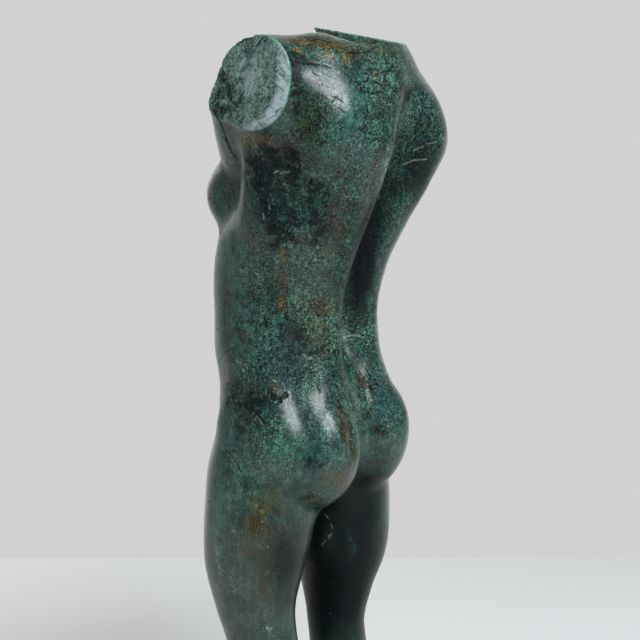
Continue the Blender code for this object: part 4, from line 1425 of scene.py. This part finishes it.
pits = bronze_torso.modifiers.new("casting pits", "NODES")
pits.node_group = press_pits
for label, value in (("Pit Places", pit_markers), ("Depth", PIT_DEPTH), ("Finish", patina)):
    pits[sockets[label].identifier] = value
seen_torso = bronze_torso.evaluated_get(bpy.context.evaluated_depsgraph_get())
pitted_mesh = bpy.data.meshes.new_from_object(seen_torso)
bronze_torso.modifiers.remove(pits)
bronze_torso.data = pitted_mesh
bpy.data.objects.remove(pit_markers)
bpy.data.meshes.remove(torso_mesh)
print("pitted torso:", len(pitted_mesh.vertices), "corners, finish", pitted_mesh.materials[0].name)

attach(bronze_torso, "root")
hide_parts("torso")

# %% [markdown]
# ## The plinth
#
# The photograph doesn't reach down to what the figure stands on, so the plinth is a plain one of
# its kind: a sawn and honed block of dark stone, its edges eased with a rubbing stone and here
# and there a little chipped. A cube is bevelled and split into small faces, and then the faces
# are moved by a little noise, more along the edges than on the flats.

# %% The plinth's mesh
PLINTH_EDGE, CHIP_DEPTH = 0.002, 0.0009
plinth_size = plinth_high - plinth_low
shape = bmesh.new()
bmesh.ops.create_cube(shape, size=1)
bmesh.ops.scale(shape, vec=plinth_size, verts=shape.verts)
bmesh.ops.translate(shape, vec=(plinth_low + plinth_high) / 2, verts=shape.verts)
bmesh.ops.bevel(shape, geom=shape.edges, offset=PLINTH_EDGE, segments=4, profile=0.5, affect="EDGES")
long_edges = [edge for edge in shape.edges if edge.calc_length() > 0.02]
bmesh.ops.subdivide_edges(shape, edges=long_edges, cuts=63, use_grid_fill=True)
plinth_mesh = bpy.data.meshes.new("plinth")
shape.to_mesh(plinth_mesh)
shape.free()
points = np.array([corner.co for corner in plinth_mesh.vertices])
inset = np.minimum(points - np.array(plinth_low), np.array(plinth_high) - points)
nearest_edge = np.sort(inset, axis=1)[:, 1]
edge_mask = 1 - ease(nearest_edge, 0.0005, 0.003)
depth = CHIP_DEPTH * edge_mask * np.clip(rough(points * 160, 3) - 0.45, 0, 1)
inner = np.clip(points, np.array(plinth_low) + 0.01, np.array(plinth_high) - 0.01)
inward = inner - points
inward /= np.maximum(lengths(inward), 1e-9)[:, None]
lay_out(plinth_mesh, points + inward * depth[:, None], {"edge": edge_mask}, 40)
stone_plinth = stand("stone_plinth", plinth_mesh)
print("plinth", [round(1000 * side) for side in plinth_size], "mm,", len(plinth_mesh.polygons), "faces")

# %% [markdown]
# The stone is nearly black, with grey clouds, pale hairline veins and fine light crystals, and its
# worn edges are a shade lighter. It uses the same groups as the patina, with other values.

# %% Dark stone
STONE, STONE_CLOUD = (0.020, 0.020, 0.019), (0.045, 0.046, 0.044)
VEIN, CRYSTAL = (0.25, 0.25, 0.23), (0.12, 0.12, 0.115)

stone, tree, shader = new_material("dark_honed_stone")
place = put(tree, "ShaderNodeTexCoord").outputs["Object"]
clouds = place_group(tree, mottling, place, Scale=35, Roughness=0.6, Low=0.42, High=0.62)
veins = place_group(tree, hairlines, place, Scale=22, Width=0.012, Amount=0.5)
crystals = place_group(tree, specks, place, Scale=1100, Amount=0.25, Softness=0.03)
edge = put(tree, "ShaderNodeAttribute", attribute_name="edge").outputs["Fac"]
rubbed = place_group(tree, worn_edges, place, Edge=edge, Scale=500, Wear=0.3)
colour = mix(tree, clouds, STONE, STONE_CLOUD)
for pattern, share, tone in ((crystals, 0.5, CRYSTAL), (veins, 0.6, VEIN), (rubbed, 0.35, CRYSTAL)):
    colour = mix(tree, times(tree, pattern, share), colour, tone)
tree.links.new(colour, shader.inputs["Base Color"])
tree.links.new(partly(tree, clouds, 0.3, 0.4), shader.inputs["Roughness"])
grain = place_group(tree, fine_grain, place, Scale=2600, Coarse=0.4)
bump = put(tree, "ShaderNodeBump", {"Height": grain, "Strength": 0.15, "Distance": 0.0002})
tree.links.new(bump.outputs[0], shader.inputs["Normal"])
plinth_mesh.materials.append(stone)

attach(stone_plinth, "root")
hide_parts("plinth")
print("dark stone:", len(tree.nodes), "nodes")
